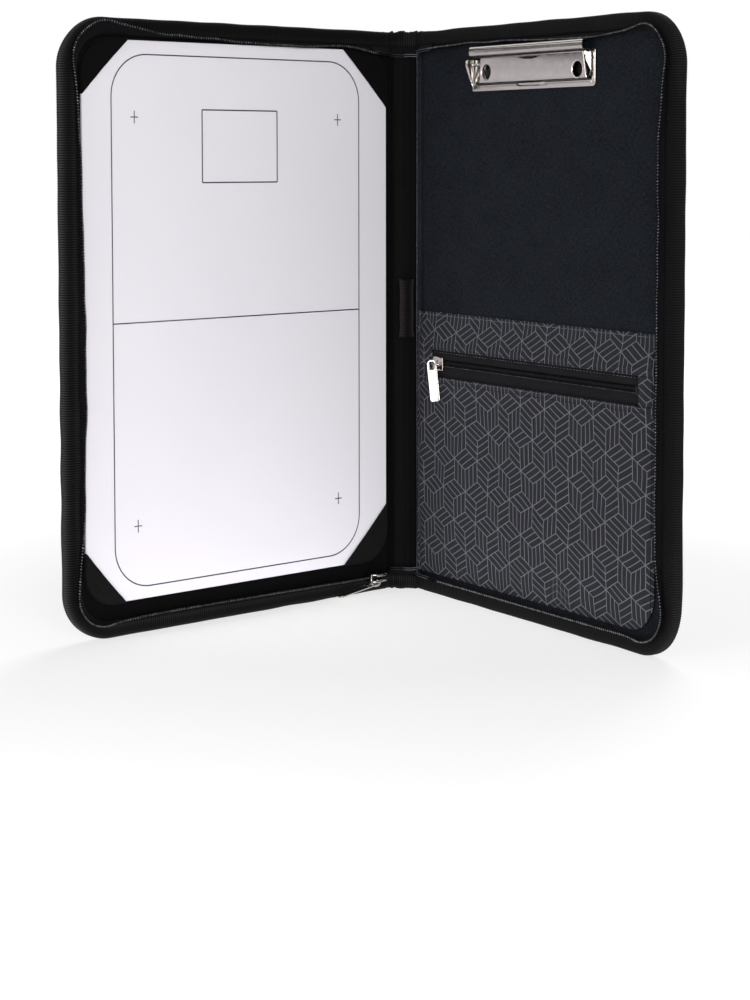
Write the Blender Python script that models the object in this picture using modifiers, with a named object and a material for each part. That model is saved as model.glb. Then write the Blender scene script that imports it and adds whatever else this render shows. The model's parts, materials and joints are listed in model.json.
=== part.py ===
"""Zipped tactics folder, standing open like a book on its bottom edges.

Metres, +Z up. The origin is at the foot of the spine, on its outer face. The spine's outer face
looks along +Y, and both covers fold towards -Y. Inside a cover, a place is given by three sizes:
the reach from the crease, the depth below the cover's outer face, and the height above the foot.
"""

import math

import bmesh
import bpy
from mathutils import Matrix, Vector

# Driving sizes
COVER_WIDTH = 0.242
COVER_HEIGHT = 0.350
SPINE_WIDTH = 0.024
CORNER_RADIUS = 0.029
FOLD_AT_REST = math.radians(48.7)

# Clearances
GAP = 0.0003
CREASE_GAP = 0.0002
RUNNING_GAP = 0.0004

# Layers of the covers and the spine, from the outside in
OUTER_FABRIC = 0.0007
FOAM = 0.0012
STIFFENER = 0.0014
LINING = 0.0005

# Binding round the edge
BINDING_THICKNESS = 0.0008
BINDING_OUTER_LEG = 0.0105
BINDING_INNER_LEG = 0.0092
BINDING_CHAMFER = 0.0006

# Main zipper
TAPE_THICKNESS = 0.0006
TAPE_SEAM_INSET = 0.0020
TOOTH_WIDTH = 0.0014
TOOTH_HEIGHT = 0.0024
HALF_TOOTH_GAP = 0.0010
END_TAB_SIDE_GAP = 0.0010

# Sliders and their pulls
SLIDER_LENGTH = 0.0110
MAIN_SLIDER_SIDE_GAP = 0.0008
POCKET_SLIDER_WIDTH = 0.0090
SLIDER_PLATE = 0.0009
SLIDER_LIP = 0.0008
SLIDER_POST = 0.0012
SLIDER_POST_LENGTH = 0.0034
SLIDER_POST_SETBACK = 0.0008
ARCH_FOOT = 0.0010
ARCH_SPAN = 0.0064
ARCH_BEAM = 0.0008
ARCH_WIDTH = 0.0014
ARCH_CLEARANCE = 0.00045
PULL_THICKNESS = 0.0012
PULL_WIDTH = 0.0062
PULL_HEAD_RADIUS = 0.0028
PULL_FOOT_RADIUS = 0.0016
PULL_HOLE_RADIUS = 0.0010
PULL_HOLE_WIDTH = 0.0034
PULL_HOLE_LENGTH = 0.0050
PULL_BAR = 0.0012
MAIN_PULL_LENGTH = 0.032
MAIN_PULL_DROOP = math.radians(8)
MAIN_SLIDER_SETBACK = 0.0010
POCKET_PULL_LENGTH = 0.026
POCKET_PULL_LEAN = math.radians(12)

# Tactics board in its corner pockets
BOARD_THICKNESS = 0.0020
BOARD_BOTTOM = 0.020
BOARD_CORNER = 0.020
POCKET_FABRIC = 0.0006
POCKET_LEG_OUTER = 0.031
POCKET_LEG_SPINE = 0.036
SPINE_CLEARANCE = 0.0007

# Webbing on the outside of the front cover
WEBBING_THICKNESS = 0.0010
WEBBING_START = 0.0240
WEBBING_WIDTH = 0.0410
STRIP_SPACE = 0.0016
STRIP_WIDTH = 0.0070

# Document pocket inside the back cover
PRINT_FABRIC = 0.0005
POCKET_TOP = 0.1765
POCKET_ZIP_HEIGHT = 0.1450
POCKET_WINDOW = 0.0165
POCKET_OUTER_INSET = 0.017
POCKET_CORNER = 0.020
POCKET_TOOTH_HEIGHT = 0.0016
POCKET_TEETH_START = 0.0200
POCKET_TEETH_END_INSET = 0.0310
POCKET_TAB_LAP = 0.0070
POCKET_TAPE_LAP = 0.0065
POCKET_SLIDER_START = 0.0270
STOP_LENGTH = 0.0020

# Pen loop on the spine
LOOP_SIDE_GAP = 0.00125
LOOP_WIDTH = 0.0091
LOOP_BULGE = 0.0085
LOOP_HEIGHT = 0.0360
LOOP_BOTTOM = 0.1600
LOOP_THICKNESS = 0.0008
LOOP_FULLNESS = 0.8

# Lever clip inside the back cover
CLIP_CENTRE = 0.1157
CLIP_LENGTH = 0.115
CLIP_SHEET = 0.0008
CLIP_TOP_INSET = 0.0180
CLIP_BASE_HEIGHT = 0.0216
EAR_TOP_INSET = 0.0020
EAR_WIDTH = 0.0170
EAR_CROWN_WIDTH = 0.0055
EAR_STAND = 0.0060
PIVOT_STAND = 0.00265
PIVOT_BELOW_EAR_TOP = 0.0030
PIN_RADIUS = 0.00075
JAW_PLAY_SPINE = 0.00675
JAW_PLAY_OUTER = 0.00115
JAW_SHEET = 0.0007
JAW_ROLL_RADIUS = 0.0016
JAW_ROLL_ABOVE = 0.0088
JAW_ROLL_STAND = 0.0070
JAW_ROLL_START = -100
JAW_ROLL_END = 110
JAW_HOLE_RADIUS = 0.0045
RIVET_SPACING = 0.0845
RIVET_BELOW_TOP = 0.0103
RIVET_HEAD_RADIUS = 0.0026
RIVET_HEAD = 0.0010
RIVET_SHANK_RADIUS = 0.0016
RIVET_FLANGE_RADIUS = 0.0026
RIVET_FLANGE = 0.0005
SPRING_WIRE = 0.0005
SPRING_RADIUS = 0.0013
SPRING_TURNS = 5.25
SPRING_PITCH = 0.0010

# The jaw's bends below its roll, and its end flaps: distances above the pivot and off the lining
JAW_BENDS = [
    (0.0066, 0.0075),
    (0.0050, 0.0053),
    (-0.0106, 0.0053),
    (-0.0118, 0.0045),
    (-0.0126, 0.0021),
    (-0.0140, 0.0019),
]
JAW_FLAP = [(-0.0042, 0.0009), (-0.0012, -0.0012), (0.0, -0.0015), (0.0012, -0.0012), (0.0042, 0.0009)]

# Fineness of the round shapes
CORNER_STEPS = 8
ROUND_STEPS = 20
ROLL_STEPS = 8
LOOP_STEPS = 14
SPRING_POINTS = 10

# Depths worked out from the layers
FOAM_TOP = OUTER_FABRIC + GAP
STIFFENER_TOP = FOAM_TOP + FOAM + GAP
LINING_TOP = STIFFENER_TOP + STIFFENER + GAP
PANEL_DEPTH = LINING_TOP + LINING
ON_LINING = PANEL_DEPTH + GAP
INNER_LEG_TOP = ON_LINING + TAPE_THICKNESS + GAP
INNER_LEG_FACE = INNER_LEG_TOP + BINDING_THICKNESS
EDGE_INSET = BINDING_THICKNESS + GAP

# Places worked out for the clip
CLIP_BASE_TOP = COVER_HEIGHT - CLIP_TOP_INSET
CLIP_BASE_BOTTOM = CLIP_BASE_TOP - CLIP_BASE_HEIGHT
EAR_TOP = CLIP_BASE_TOP - EAR_TOP_INSET
EAR_BOTTOM = EAR_TOP - EAR_WIDTH
PIVOT_HEIGHT = EAR_TOP - PIVOT_BELOW_EAR_TOP
PIVOT_DEPTH = ON_LINING + PIVOT_STAND
RIVET_HEIGHT = CLIP_BASE_TOP - RIVET_BELOW_TOP
JAW_SPINE_END = CLIP_CENTRE - CLIP_LENGTH / 2 + CLIP_SHEET + JAW_PLAY_SPINE
JAW_OUTER_END = CLIP_CENTRE + CLIP_LENGTH / 2 - CLIP_SHEET - JAW_PLAY_OUTER
JAW_CENTRE = (JAW_SPINE_END + JAW_OUTER_END) / 2

# Places worked out for the main zipper
MID_DEPTH = SPINE_WIDTH / 2
TEETH_FACE = MID_DEPTH - HALF_TOOTH_GAP
TEETH_BASE = TEETH_FACE - TOOTH_WIDTH
TAPE_TOP = TEETH_BASE - GAP
TAPE_INSET = BINDING_INNER_LEG + GAP
TAPE_INNER_INSET = TAPE_INSET + TAPE_THICKNESS
TAPE_PLANE = TAPE_INSET + TAPE_THICKNESS / 2
ZIPPER_START = MID_DEPTH + 2 * GAP
MAIN_SLIDER_WIDTH = SPINE_WIDTH - 2 * (INNER_LEG_FACE + MAIN_SLIDER_SIDE_GAP)
MAIN_SLIDER_START = ZIPPER_START + MAIN_SLIDER_SETBACK + SLIDER_LENGTH / 2
BACK_TEETH_START = MAIN_SLIDER_START + SLIDER_LENGTH / 2 + RUNNING_GAP

# Places worked out for the board
BOARD_EDGE_INSET = TAPE_PLANE + TOOTH_HEIGHT / 2 + GAP + POCKET_FABRIC + GAP
BOARD_SPINE_EDGE = PANEL_DEPTH + SPINE_CLEARANCE + POCKET_FABRIC + GAP

# Places worked out for the document pocket, which clears the main slider, and for its zipper
POCKET_SPINE_EDGE = PANEL_DEPTH + SPINE_CLEARANCE + PRINT_FABRIC
MAIN_SLIDER_INNER_SIDE = TAPE_PLANE + TOOTH_HEIGHT / 2 + GAP + SLIDER_PLATE
POCKET_BOTTOM = MAIN_SLIDER_INNER_SIDE + RUNNING_GAP + PRINT_FABRIC
POCKET_TEETH_END = COVER_WIDTH - POCKET_TEETH_END_INSET
POCKET_ZIP_DEPTH = ON_LINING + SLIDER_PLATE + GAP + POCKET_TOOTH_HEIGHT / 2
PRINT_DEPTH = POCKET_ZIP_DEPTH + TAPE_THICKNESS / 2 + GAP

# Place worked out for the pen loop, beside the back cover
LOOP_CENTRE = SPINE_WIDTH / 2 - PANEL_DEPTH - LOOP_SIDE_GAP - LOOP_WIDTH / 2

FRONT = 1
BACK = -1

for old in list(bpy.data.objects):
    bpy.data.objects.remove(old, do_unlink=True)

parts = bpy.data.collections.new("tactics_folder")
cutters = bpy.data.collections.new("cutters")
for collection in (parts, cutters):
    bpy.context.scene.collection.children.link(collection)


def material(name, colour, roughness, metallic=0.0):
    made = bpy.data.materials.new(name)
    made.use_nodes = True
    shader = made.node_tree.nodes["Principled BSDF"]
    shader.inputs["Base Color"].default_value = (*colour, 1.0)
    shader.inputs["Roughness"].default_value = roughness
    shader.inputs["Metallic"].default_value = metallic
    made.diffuse_color = (*colour, 1.0)
    return made


OUTER_CLOTH = material("outer_cloth", (0.018, 0.017, 0.022), 0.85)
FOAM_GREY = material("foam_grey", (0.16, 0.16, 0.17), 0.95)
STIFF_BOARD = material("stiff_board", (0.30, 0.27, 0.22), 0.80)
LINING_CLOTH = material("lining_cloth", (0.010, 0.012, 0.015), 0.80)
RIBBED_BINDING = material("ribbed_binding", (0.022, 0.020, 0.020), 0.75)
ZIPPER_TAPE = material("zipper_tape", (0.014, 0.014, 0.015), 0.80)
ZIPPER_COIL = material("zipper_coil", (0.020, 0.020, 0.021), 0.35)
WHITE_BOARD = material("white_board", (0.78, 0.77, 0.82), 0.15)
PRINTED_CLOTH = material("printed_cloth", (0.040, 0.041, 0.046), 0.80)
WEBBING = material("webbing", (0.015, 0.015, 0.017), 0.70)
ELASTIC = material("elastic", (0.014, 0.013, 0.014), 0.80)
NICKEL = material("nickel", (0.62, 0.59, 0.56), 0.22, 1.0)
SPRING_STEEL = material("spring_steel", (0.35, 0.34, 0.33), 0.35, 1.0)


def frame(name, parent, place, turn=(0.0, 0.0, 0.0)):
    """An empty that carries the pieces of one moving body."""
    empty = bpy.data.objects.new(name, None)
    empty.empty_display_size = 0.02
    empty.location = place
    empty.rotation_euler = turn
    empty.parent = parent
    parts.objects.link(empty)
    return empty


def finish(name, bm, look, parent, side=FRONT, collection=parts, open_sheet=False):
    """Turns a bmesh into an object. The back cover's reach runs along -X of its frame.

    An open sheet's first face is turned to look away from the cover, for its Solidify modifier.
    """
    if side == BACK:
        bmesh.ops.scale(bm, vec=(-1.0, 1.0, 1.0), verts=bm.verts)
    bmesh.ops.recalc_face_normals(bm, faces=bm.faces)
    bm.faces.ensure_lookup_table()
    if open_sheet and bm.faces[0].normal.y < 0:
        bmesh.ops.reverse_faces(bm, faces=bm.faces)
    mesh = bpy.data.meshes.new(name)
    bm.to_mesh(mesh)
    bm.free()
    made = bpy.data.objects.new(name, mesh)
    made.parent = parent
    collection.objects.link(made)
    if look:
        mesh.materials.append(look)
    if collection is cutters:
        made.hide_render = True
        made.display_type = "WIRE"
    return made


def smooth(made, angle=40):
    made.data.shade_smooth()
    made.data.set_sharp_from_angle(angle=math.radians(angle))
    return made


def box_mesh(low, high):
    """A bmesh box between two corners."""
    bm = bmesh.new()
    size = Vector(high) - Vector(low)
    middle = (Vector(high) + Vector(low)) / 2
    bmesh.ops.create_cube(bm, size=1.0, matrix=Matrix.Translation(middle) @ Matrix.Diagonal((*size, 1.0)))
    return bm


def rod_mesh(radius, start, end, steps=ROUND_STEPS):
    """A bmesh cylinder from one point to another."""
    bm = bmesh.new()
    run = Vector(end) - Vector(start)
    turn = run.to_track_quat("Z", "Y").to_matrix().to_4x4()
    place = Matrix.Translation((Vector(start) + Vector(end)) / 2) @ turn
    bmesh.ops.create_cone(
        bm, cap_ends=True, segments=steps, radius1=radius, radius2=radius, depth=run.length, matrix=place
    )
    return bm


def extruded(points, move):
    """A bmesh prism: a closed outline of 3D points, carried along a vector."""
    bm = bmesh.new()
    face = bm.faces.new([bm.verts.new(point) for point in points])
    made = bmesh.ops.extrude_face_region(bm, geom=[face])
    bmesh.ops.translate(bm, vec=move, verts=[v for v in made["geom"] if isinstance(v, bmesh.types.BMVert)])
    return bm


def thicken(made, thickness, offset):
    """Gives an open sheet its thickness: offset 1 away from the cover, -1 towards it."""
    wall = made.modifiers.new("sheet", "SOLIDIFY")
    wall.thickness = thickness
    wall.offset = offset
    wall.solidify_mode = "NON_MANIFOLD"
    wall.nonmanifold_thickness_mode = "CONSTRAINTS"


def cut(made, cutter):
    step = made.modifiers.new("cut_" + cutter.name, "BOOLEAN")
    step.operation = "DIFFERENCE"
    step.object = cutter


def arc(centre, radius, start, end, steps):
    """Points of an arc in a plane, both ends included. Angles in degrees."""
    angles = [math.radians(start + (end - start) * i / steps) for i in range(steps + 1)]
    return [(centre[0] + radius * math.cos(a), centre[1] + radius * math.sin(a)) for a in angles]


def cover_outline(start, inset):
    """Reach and height of a cover's outline, set in from its edge and square at the crease."""
    across = COVER_WIDTH - CORNER_RADIUS
    radius = CORNER_RADIUS - inset
    low = arc((across, CORNER_RADIUS), radius, -90, 0, CORNER_STEPS)
    high = arc((across, COVER_HEIGHT - CORNER_RADIUS), radius, 0, 90, CORNER_STEPS)
    return [(start, inset)] + low + high + [(start, COVER_HEIGHT - inset)]


def rounded_outline(low, high, radii):
    """A rectangle's outline with its own radius at each corner, from low-left anticlockwise."""
    corners = [
        ((low[0], low[1]), 180, (1, 1)),
        ((high[0], low[1]), 270, (-1, 1)),
        ((high[0], high[1]), 0, (-1, -1)),
        ((low[0], high[1]), 90, (1, -1)),
    ]
    points = []
    for (corner, angle, way), radius in zip(corners, radii):
        if radius == 0:
            points.append(corner)
            continue
        centre = (corner[0] + way[0] * radius, corner[1] + way[1] * radius)
        points += arc(centre, radius, angle, angle + 90, CORNER_STEPS)
    return points


def mitre(bm, start):
    """Slants the ends at the crease, so that the layers clear the spine when the cover closes."""
    for vert in bm.verts:
        if vert.co.x < start + GAP:
            vert.co.x = max(vert.co.y, 0.0) + CREASE_GAP


def cover_layer(name, top, thickness, look, body, side):
    """One flat layer of a cover, with its crease end mitred."""
    points = [(reach, top, height) for reach, height in cover_outline(0.0, EDGE_INSET)]
    bm = extruded(points, (0, thickness, 0))
    mitre(bm, 0.0)
    return finish(name, bm, look, body, side)


def grow(bm, face, move):
    """Extrudes a section along a vector and gives the new end face."""
    made = bmesh.ops.extrude_face_region(bm, geom=[face])
    bmesh.ops.translate(bm, vec=move, verts=[v for v in made["geom"] if isinstance(v, bmesh.types.BMVert)])
    return next(f for f in made["geom"] if isinstance(f, bmesh.types.BMFace))


def bend(bm, face, centre):
    """Turns a section a quarter turn about a corner's centre and gives the new end face."""
    made = bmesh.ops.spin(
        bm, geom=[face], cent=centre, axis=(0, 1, 0), angle=-math.pi / 2, steps=CORNER_STEPS
    )
    return next(f for f in made["geom_last"] if isinstance(f, bmesh.types.BMFace))


def edge_sweep(section, start):
    """Carries a section of (inset, depth) points along a cover's bottom, outer and top edges."""
    bm = bmesh.new()
    across = COVER_WIDTH - CORNER_RADIUS
    upright = COVER_HEIGHT - 2 * CORNER_RADIUS
    face = bm.faces.new([bm.verts.new((start, depth, inset)) for inset, depth in section])
    face = grow(bm, face, (across - start, 0, 0))
    face = bend(bm, face, (across, 0, CORNER_RADIUS))
    face = grow(bm, face, (0, 0, upright))
    face = bend(bm, face, (across, 0, CORNER_RADIUS + upright))
    grow(bm, face, (start - across, 0, 0))
    inside = [f for f in bm.faces if all(len(edge.link_faces) > 2 for edge in f.edges)]
    bmesh.ops.delete(bm, geom=inside, context="FACES_ONLY")
    return bm


def binding_section():
    face = INNER_LEG_FACE
    return [
        (BINDING_OUTER_LEG, -GAP - BINDING_THICKNESS),
        (BINDING_CHAMFER, -GAP - BINDING_THICKNESS),
        (0.0, -GAP - BINDING_THICKNESS + BINDING_CHAMFER),
        (0.0, face - BINDING_CHAMFER),
        (BINDING_CHAMFER, face),
        (BINDING_INNER_LEG, face),
        (BINDING_INNER_LEG, INNER_LEG_TOP),
        (BINDING_THICKNESS, INNER_LEG_TOP),
        (BINDING_THICKNESS, -GAP),
        (BINDING_OUTER_LEG, -GAP),
    ]


def tape_section(top):
    """A tape sewn flat under the binding's inner leg, that turns up towards the other cover."""
    return [
        (TAPE_SEAM_INSET, ON_LINING),
        (TAPE_INNER_INSET, ON_LINING),
        (TAPE_INNER_INSET, top),
        (TAPE_INSET, top),
        (TAPE_INSET, ON_LINING + TAPE_THICKNESS),
        (TAPE_SEAM_INSET, ON_LINING + TAPE_THICKNESS),
    ]


def teeth_section():
    low = TAPE_PLANE - TOOTH_HEIGHT / 2
    high = TAPE_PLANE + TOOTH_HEIGHT / 2
    return [(low, TEETH_BASE), (high, TEETH_BASE), (high, TEETH_FACE), (low, TEETH_FACE)]


def cover(prefix, body, side, teeth_start):
    """The layers, binding and half of the main zipper that both covers have."""
    cover_layer(prefix + "_outer_fabric", 0.0, OUTER_FABRIC, OUTER_CLOTH, body, side)
    foam = cover_layer(prefix + "_foam", FOAM_TOP, FOAM, FOAM_GREY, body, side)
    stiffener = cover_layer(prefix + "_stiffener", STIFFENER_TOP, STIFFENER, STIFF_BOARD, body, side)
    lining = cover_layer(prefix + "_lining", LINING_TOP, LINING, LINING_CLOTH, body, side)
    binding = edge_sweep(binding_section(), 0.0)
    mitre(binding, 0.0)
    smooth(finish(prefix + "_binding", binding, RIBBED_BINDING, body, side))
    tape = edge_sweep(tape_section(TAPE_TOP), ZIPPER_START)
    smooth(finish(prefix + "_zipper_tape", tape, ZIPPER_TAPE, body, side))
    teeth = edge_sweep(teeth_section(), teeth_start)
    smooth(finish(prefix + "_zipper_teeth", teeth, ZIPPER_COIL, body, side))
    return foam, stiffener, lining


def spine_layer(name, top, thickness, look):
    """One flat layer of the spine, mitred at both creases."""
    half = SPINE_WIDTH / 2
    outline = [
        (half - top - CREASE_GAP, -top),
        (half - top - thickness - CREASE_GAP, -top - thickness),
        (-half + top + thickness + CREASE_GAP, -top - thickness),
        (-half + top + CREASE_GAP, -top),
    ]
    points = [(x, y, EDGE_INSET) for x, y in outline]
    return finish(name, extruded(points, (0, 0, COVER_HEIGHT - 2 * EDGE_INSET)), look, spine)


def spine_end(name, section, look, half_width, at_top, mitred):
    """A piece across the spine's top or bottom edge, from a section of (inset, depth) points."""
    points = [(-half_width, -depth, inset) for inset, depth in section]
    bm = extruded(points, (2 * half_width, 0, 0))
    for vert in bm.verts:
        if mitred:
            vert.co.x = math.copysign(half_width - max(-vert.co.y, 0.0) - CREASE_GAP, vert.co.x)
        if at_top:
            vert.co.z = COVER_HEIGHT - vert.co.z
    return finish(name, bm, look, spine)


def pen_loop():
    """An elastic band sewn to the spine as an upright tube with a flat back."""

    def ring(inner):
        half = LOOP_WIDTH / 2 - inner
        rise = LOOP_BULGE - 2 * inner
        back = -ON_LINING - inner
        angles = [math.pi * i / LOOP_STEPS for i in range(LOOP_STEPS + 1)]
        return [(LOOP_CENTRE + half * math.cos(a), back - rise * math.sin(a) ** LOOP_FULLNESS) for a in angles]

    shape = bpy.data.curves.new("pen_loop", "CURVE")
    shape.dimensions = "2D"
    shape.fill_mode = "BOTH"
    shape.extrude = LOOP_HEIGHT / 2
    for inner in (0.0, LOOP_THICKNESS):
        points = ring(inner)
        spline = shape.splines.new("POLY")
        spline.use_cyclic_u = True
        spline.points.add(len(points) - 1)
        for point, (x, y) in zip(spline.points, points):
            point.co = (x, y, 0.0, 1.0)
    shape.materials.append(ELASTIC)
    loop = bpy.data.objects.new("pen_loop", shape)
    loop.location.z = LOOP_BOTTOM + LOOP_HEIGHT / 2
    loop.parent = spine
    parts.objects.link(loop)


def tactics_board():
    low = (BOARD_SPINE_EDGE, BOARD_BOTTOM)
    high = (COVER_WIDTH - BOARD_EDGE_INSET, COVER_HEIGHT - BOARD_EDGE_INSET)
    outline = rounded_outline(low, high, [BOARD_CORNER] * 4)
    points = [(reach, ON_LINING, height) for reach, height in outline]
    finish("tactics_board", extruded(points, (0, BOARD_THICKNESS, 0)), WHITE_BOARD, front)


def corner_pocket(name, at_outer, at_top):
    """A cloth triangle over one corner of the board, turned down to the lining round the corner."""
    reach = COVER_WIDTH - BOARD_EDGE_INSET + GAP if at_outer else BOARD_SPINE_EDGE - GAP
    height = COVER_HEIGHT - BOARD_EDGE_INSET + GAP if at_top else BOARD_BOTTOM - GAP
    leg = POCKET_LEG_OUTER if at_outer else POCKET_LEG_SPINE
    along = -1 if at_outer else 1
    up = -1 if at_top else 1
    radius = BOARD_CORNER + GAP
    quarter = [math.radians(90 * i / CORNER_STEPS) for i in range(CORNER_STEPS + 1)]
    turn = [(radius * (1 - math.cos(a)), radius * (1 - math.sin(a))) for a in quarter]
    outline = [(0.0, leg)] + turn + [(leg, 0.0)]
    face_depth = ON_LINING + BOARD_THICKNESS + GAP
    bm = bmesh.new()
    rim = [bm.verts.new((reach + along * a, face_depth, height + up * b)) for a, b in outline]
    bm.faces.new(rim)
    bm.edges.ensure_lookup_table()
    mouth = {rim[0], rim[-1]}
    seam = [edge for edge in bm.edges if set(edge.verts) != mouth]
    made = bmesh.ops.extrude_edge_only(bm, edges=seam)
    for vert in made["geom"]:
        if isinstance(vert, bmesh.types.BMVert):
            vert.co.y = ON_LINING
    thicken(finish(name, bm, LINING_CLOTH, front, open_sheet=True), POCKET_FABRIC, 1.0)


def webbing():
    low = BINDING_OUTER_LEG + GAP
    high = COVER_HEIGHT - low
    outside = (-GAP - WEBBING_THICKNESS, -GAP)
    wide = box_mesh((WEBBING_START, outside[0], low), (WEBBING_START + WEBBING_WIDTH, outside[1], high))
    finish("cover_webbing", wide, WEBBING, front)
    start = WEBBING_START + WEBBING_WIDTH + STRIP_SPACE
    narrow = box_mesh((start, outside[0], low), (start + STRIP_WIDTH, outside[1], high))
    finish("webbing_edge_strip", narrow, WEBBING, front)


def document_pocket():
    """A zipped pocket of printed cloth over the lower half of the back cover."""
    low_edge = POCKET_ZIP_HEIGHT - POCKET_WINDOW / 2
    high_edge = POCKET_ZIP_HEIGHT + POCKET_WINDOW / 2
    outer = COVER_WIDTH - POCKET_OUTER_INSET
    outline = rounded_outline(
        (POCKET_SPINE_EDGE, POCKET_BOTTOM), (outer, low_edge), [0, POCKET_CORNER, 0, 0]
    )
    bm = bmesh.new()
    rim = [bm.verts.new((reach, PRINT_DEPTH, height)) for reach, height in outline]
    bm.faces.new(rim)
    seam = [edge for edge in bm.edges if min(v.co.z for v in edge.verts) < low_edge - GAP]
    made = bmesh.ops.extrude_edge_only(bm, edges=seam)
    for vert in made["geom"]:
        if isinstance(vert, bmesh.types.BMVert):
            vert.co.y = ON_LINING
    panel = finish("document_pocket_panel", bm, PRINTED_CLOTH, back, BACK, open_sheet=True)
    thicken(panel, PRINT_FABRIC, 1.0)

    band = box_mesh(
        (POCKET_SPINE_EDGE, ON_LINING, high_edge + GAP), (outer, ON_LINING + PRINT_FABRIC, POCKET_TOP)
    )
    finish("document_pocket_band", band, PRINTED_CLOTH, back, BACK)

    tape_low = POCKET_ZIP_DEPTH - TAPE_THICKNESS / 2
    tape_edge = HALF_TOOTH_GAP + TOOTH_WIDTH + GAP
    tape_ends = (POCKET_TEETH_START - POCKET_TAB_LAP, POCKET_TEETH_END + POCKET_TAB_LAP)
    tooth_low = POCKET_ZIP_DEPTH - POCKET_TOOTH_HEIGHT / 2
    for name, way, far in (
        ("upper", 1, POCKET_WINDOW / 2),
        ("lower", -1, POCKET_WINDOW / 2 + POCKET_TAPE_LAP),
    ):
        heights = sorted((POCKET_ZIP_HEIGHT + way * tape_edge, POCKET_ZIP_HEIGHT + way * far))
        tape = box_mesh(
            (tape_ends[0], tape_low, heights[0]), (tape_ends[1], tape_low + TAPE_THICKNESS, heights[1])
        )
        finish("pocket_zipper_tape_" + name, tape, ZIPPER_TAPE, back, BACK)
        near = POCKET_ZIP_HEIGHT + way * HALF_TOOTH_GAP
        heights = sorted((near, near + way * TOOTH_WIDTH))
        teeth = box_mesh(
            (POCKET_TEETH_START, tooth_low, heights[0]),
            (POCKET_TEETH_END, tooth_low + POCKET_TOOTH_HEIGHT, heights[1]),
        )
        finish("pocket_zipper_teeth_" + name, teeth, ZIPPER_COIL, back, BACK)

    stop_half = HALF_TOOTH_GAP + TOOTH_WIDTH
    stop_start = POCKET_TEETH_END + GAP
    stop = box_mesh(
        (stop_start, tooth_low, POCKET_ZIP_HEIGHT - stop_half),
        (stop_start + STOP_LENGTH, tooth_low + POCKET_TOOTH_HEIGHT, POCKET_ZIP_HEIGHT + stop_half),
    )
    finish("pocket_zipper_stop", stop, NICKEL, back, BACK)

    tab_depths = (PRINT_DEPTH, PRINT_DEPTH + PRINT_FABRIC)
    for name, start, end in (
        ("spine_side", POCKET_SPINE_EDGE, POCKET_TEETH_START - GAP),
        ("outer_side", stop_start + STOP_LENGTH + GAP, outer),
    ):
        tab = box_mesh((start, tab_depths[0], low_edge + GAP), (end, tab_depths[1], high_edge))
        finish("pocket_end_tab_" + name, tab, PRINTED_CLOTH, back, BACK)


def slider(name, body, coil_height, width):
    """A zipper slider. X is the travel, Y runs across the tapes and Z towards the pull."""
    inner = coil_height / 2 + GAP
    outer = inner + SLIDER_PLATE
    half = width / 2
    end = SLIDER_LENGTH / 2
    slot = TAPE_THICKNESS / 2 + GAP
    sink = SLIDER_PLATE / 2
    nose = end - SLIDER_POST_SETBACK
    beam = outer + PULL_THICKNESS + 2 * ARCH_CLEARANCE
    foot = ARCH_SPAN / 2
    post_half = SLIDER_POST / 2
    post_start = (nose - SLIDER_POST_LENGTH, -post_half, -inner - sink)
    members = [
        box_mesh((-end, -half, -outer), (end, half, -inner)),
        box_mesh(post_start, (nose, post_half, inner + sink)),
    ]
    for across in (-half, half - SLIDER_LIP):
        members.append(box_mesh((-end, across, slot), (end, across + SLIDER_LIP, inner + sink)))
        members.append(box_mesh((-end, across, -inner - sink), (end, across + SLIDER_LIP, -slot)))
    arch = [
        (-foot, outer - sink),
        (-foot + ARCH_FOOT, outer - sink),
        (-foot + ARCH_FOOT, beam),
        (foot - ARCH_FOOT, beam),
        (foot - ARCH_FOOT, outer - sink),
        (foot, outer - sink),
        (foot, beam + ARCH_BEAM / 2),
        (foot - ARCH_BEAM / 2, beam + ARCH_BEAM),
        (-foot + ARCH_BEAM / 2, beam + ARCH_BEAM),
        (-foot, beam + ARCH_BEAM / 2),
    ]
    members.append(extruded([(x, -ARCH_WIDTH / 2, z) for x, z in arch], (0, ARCH_WIDTH, 0)))
    made = finish(name, box_mesh((-end, -half, inner), (end, half, outer)), NICKEL, body)
    for number, member in enumerate(members):
        helper = finish(f"{name}_member_{number}", member, None, body, collection=cutters)
        join = made.modifiers.new("join_" + helper.name, "BOOLEAN")
        join.operation = "UNION"
        join.object = helper
    return outer + ARCH_CLEARANCE + PULL_THICKNESS / 2


def pull_tab(name, body, length, bar_at):
    """A flat pull with a slot at its head, lying along +X of its frame. The pivot is its origin."""
    half = PULL_WIDTH / 2
    head = bar_at - PULL_BAR
    radii = [PULL_HEAD_RADIUS, PULL_FOOT_RADIUS, PULL_FOOT_RADIUS, PULL_HEAD_RADIUS]
    outline = rounded_outline((head, -half), (head + length, half), radii)
    slot_half = PULL_HOLE_WIDTH / 2
    slot_end = bar_at + PULL_HOLE_LENGTH
    slot = rounded_outline((bar_at, -slot_half), (slot_end, slot_half), [PULL_HOLE_RADIUS] * 4)
    shape = bpy.data.curves.new(name, "CURVE")
    shape.dimensions = "2D"
    shape.fill_mode = "BOTH"
    shape.extrude = PULL_THICKNESS / 2
    for points in (outline, slot):
        spline = shape.splines.new("POLY")
        spline.use_cyclic_u = True
        spline.points.add(len(points) - 1)
        for point, (x, y) in zip(spline.points, points):
            point.co = (x, y, 0.0, 1.0)
    shape.materials.append(NICKEL)
    tab = bpy.data.objects.new(name, shape)
    tab.parent = body
    parts.objects.link(tab)


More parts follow.
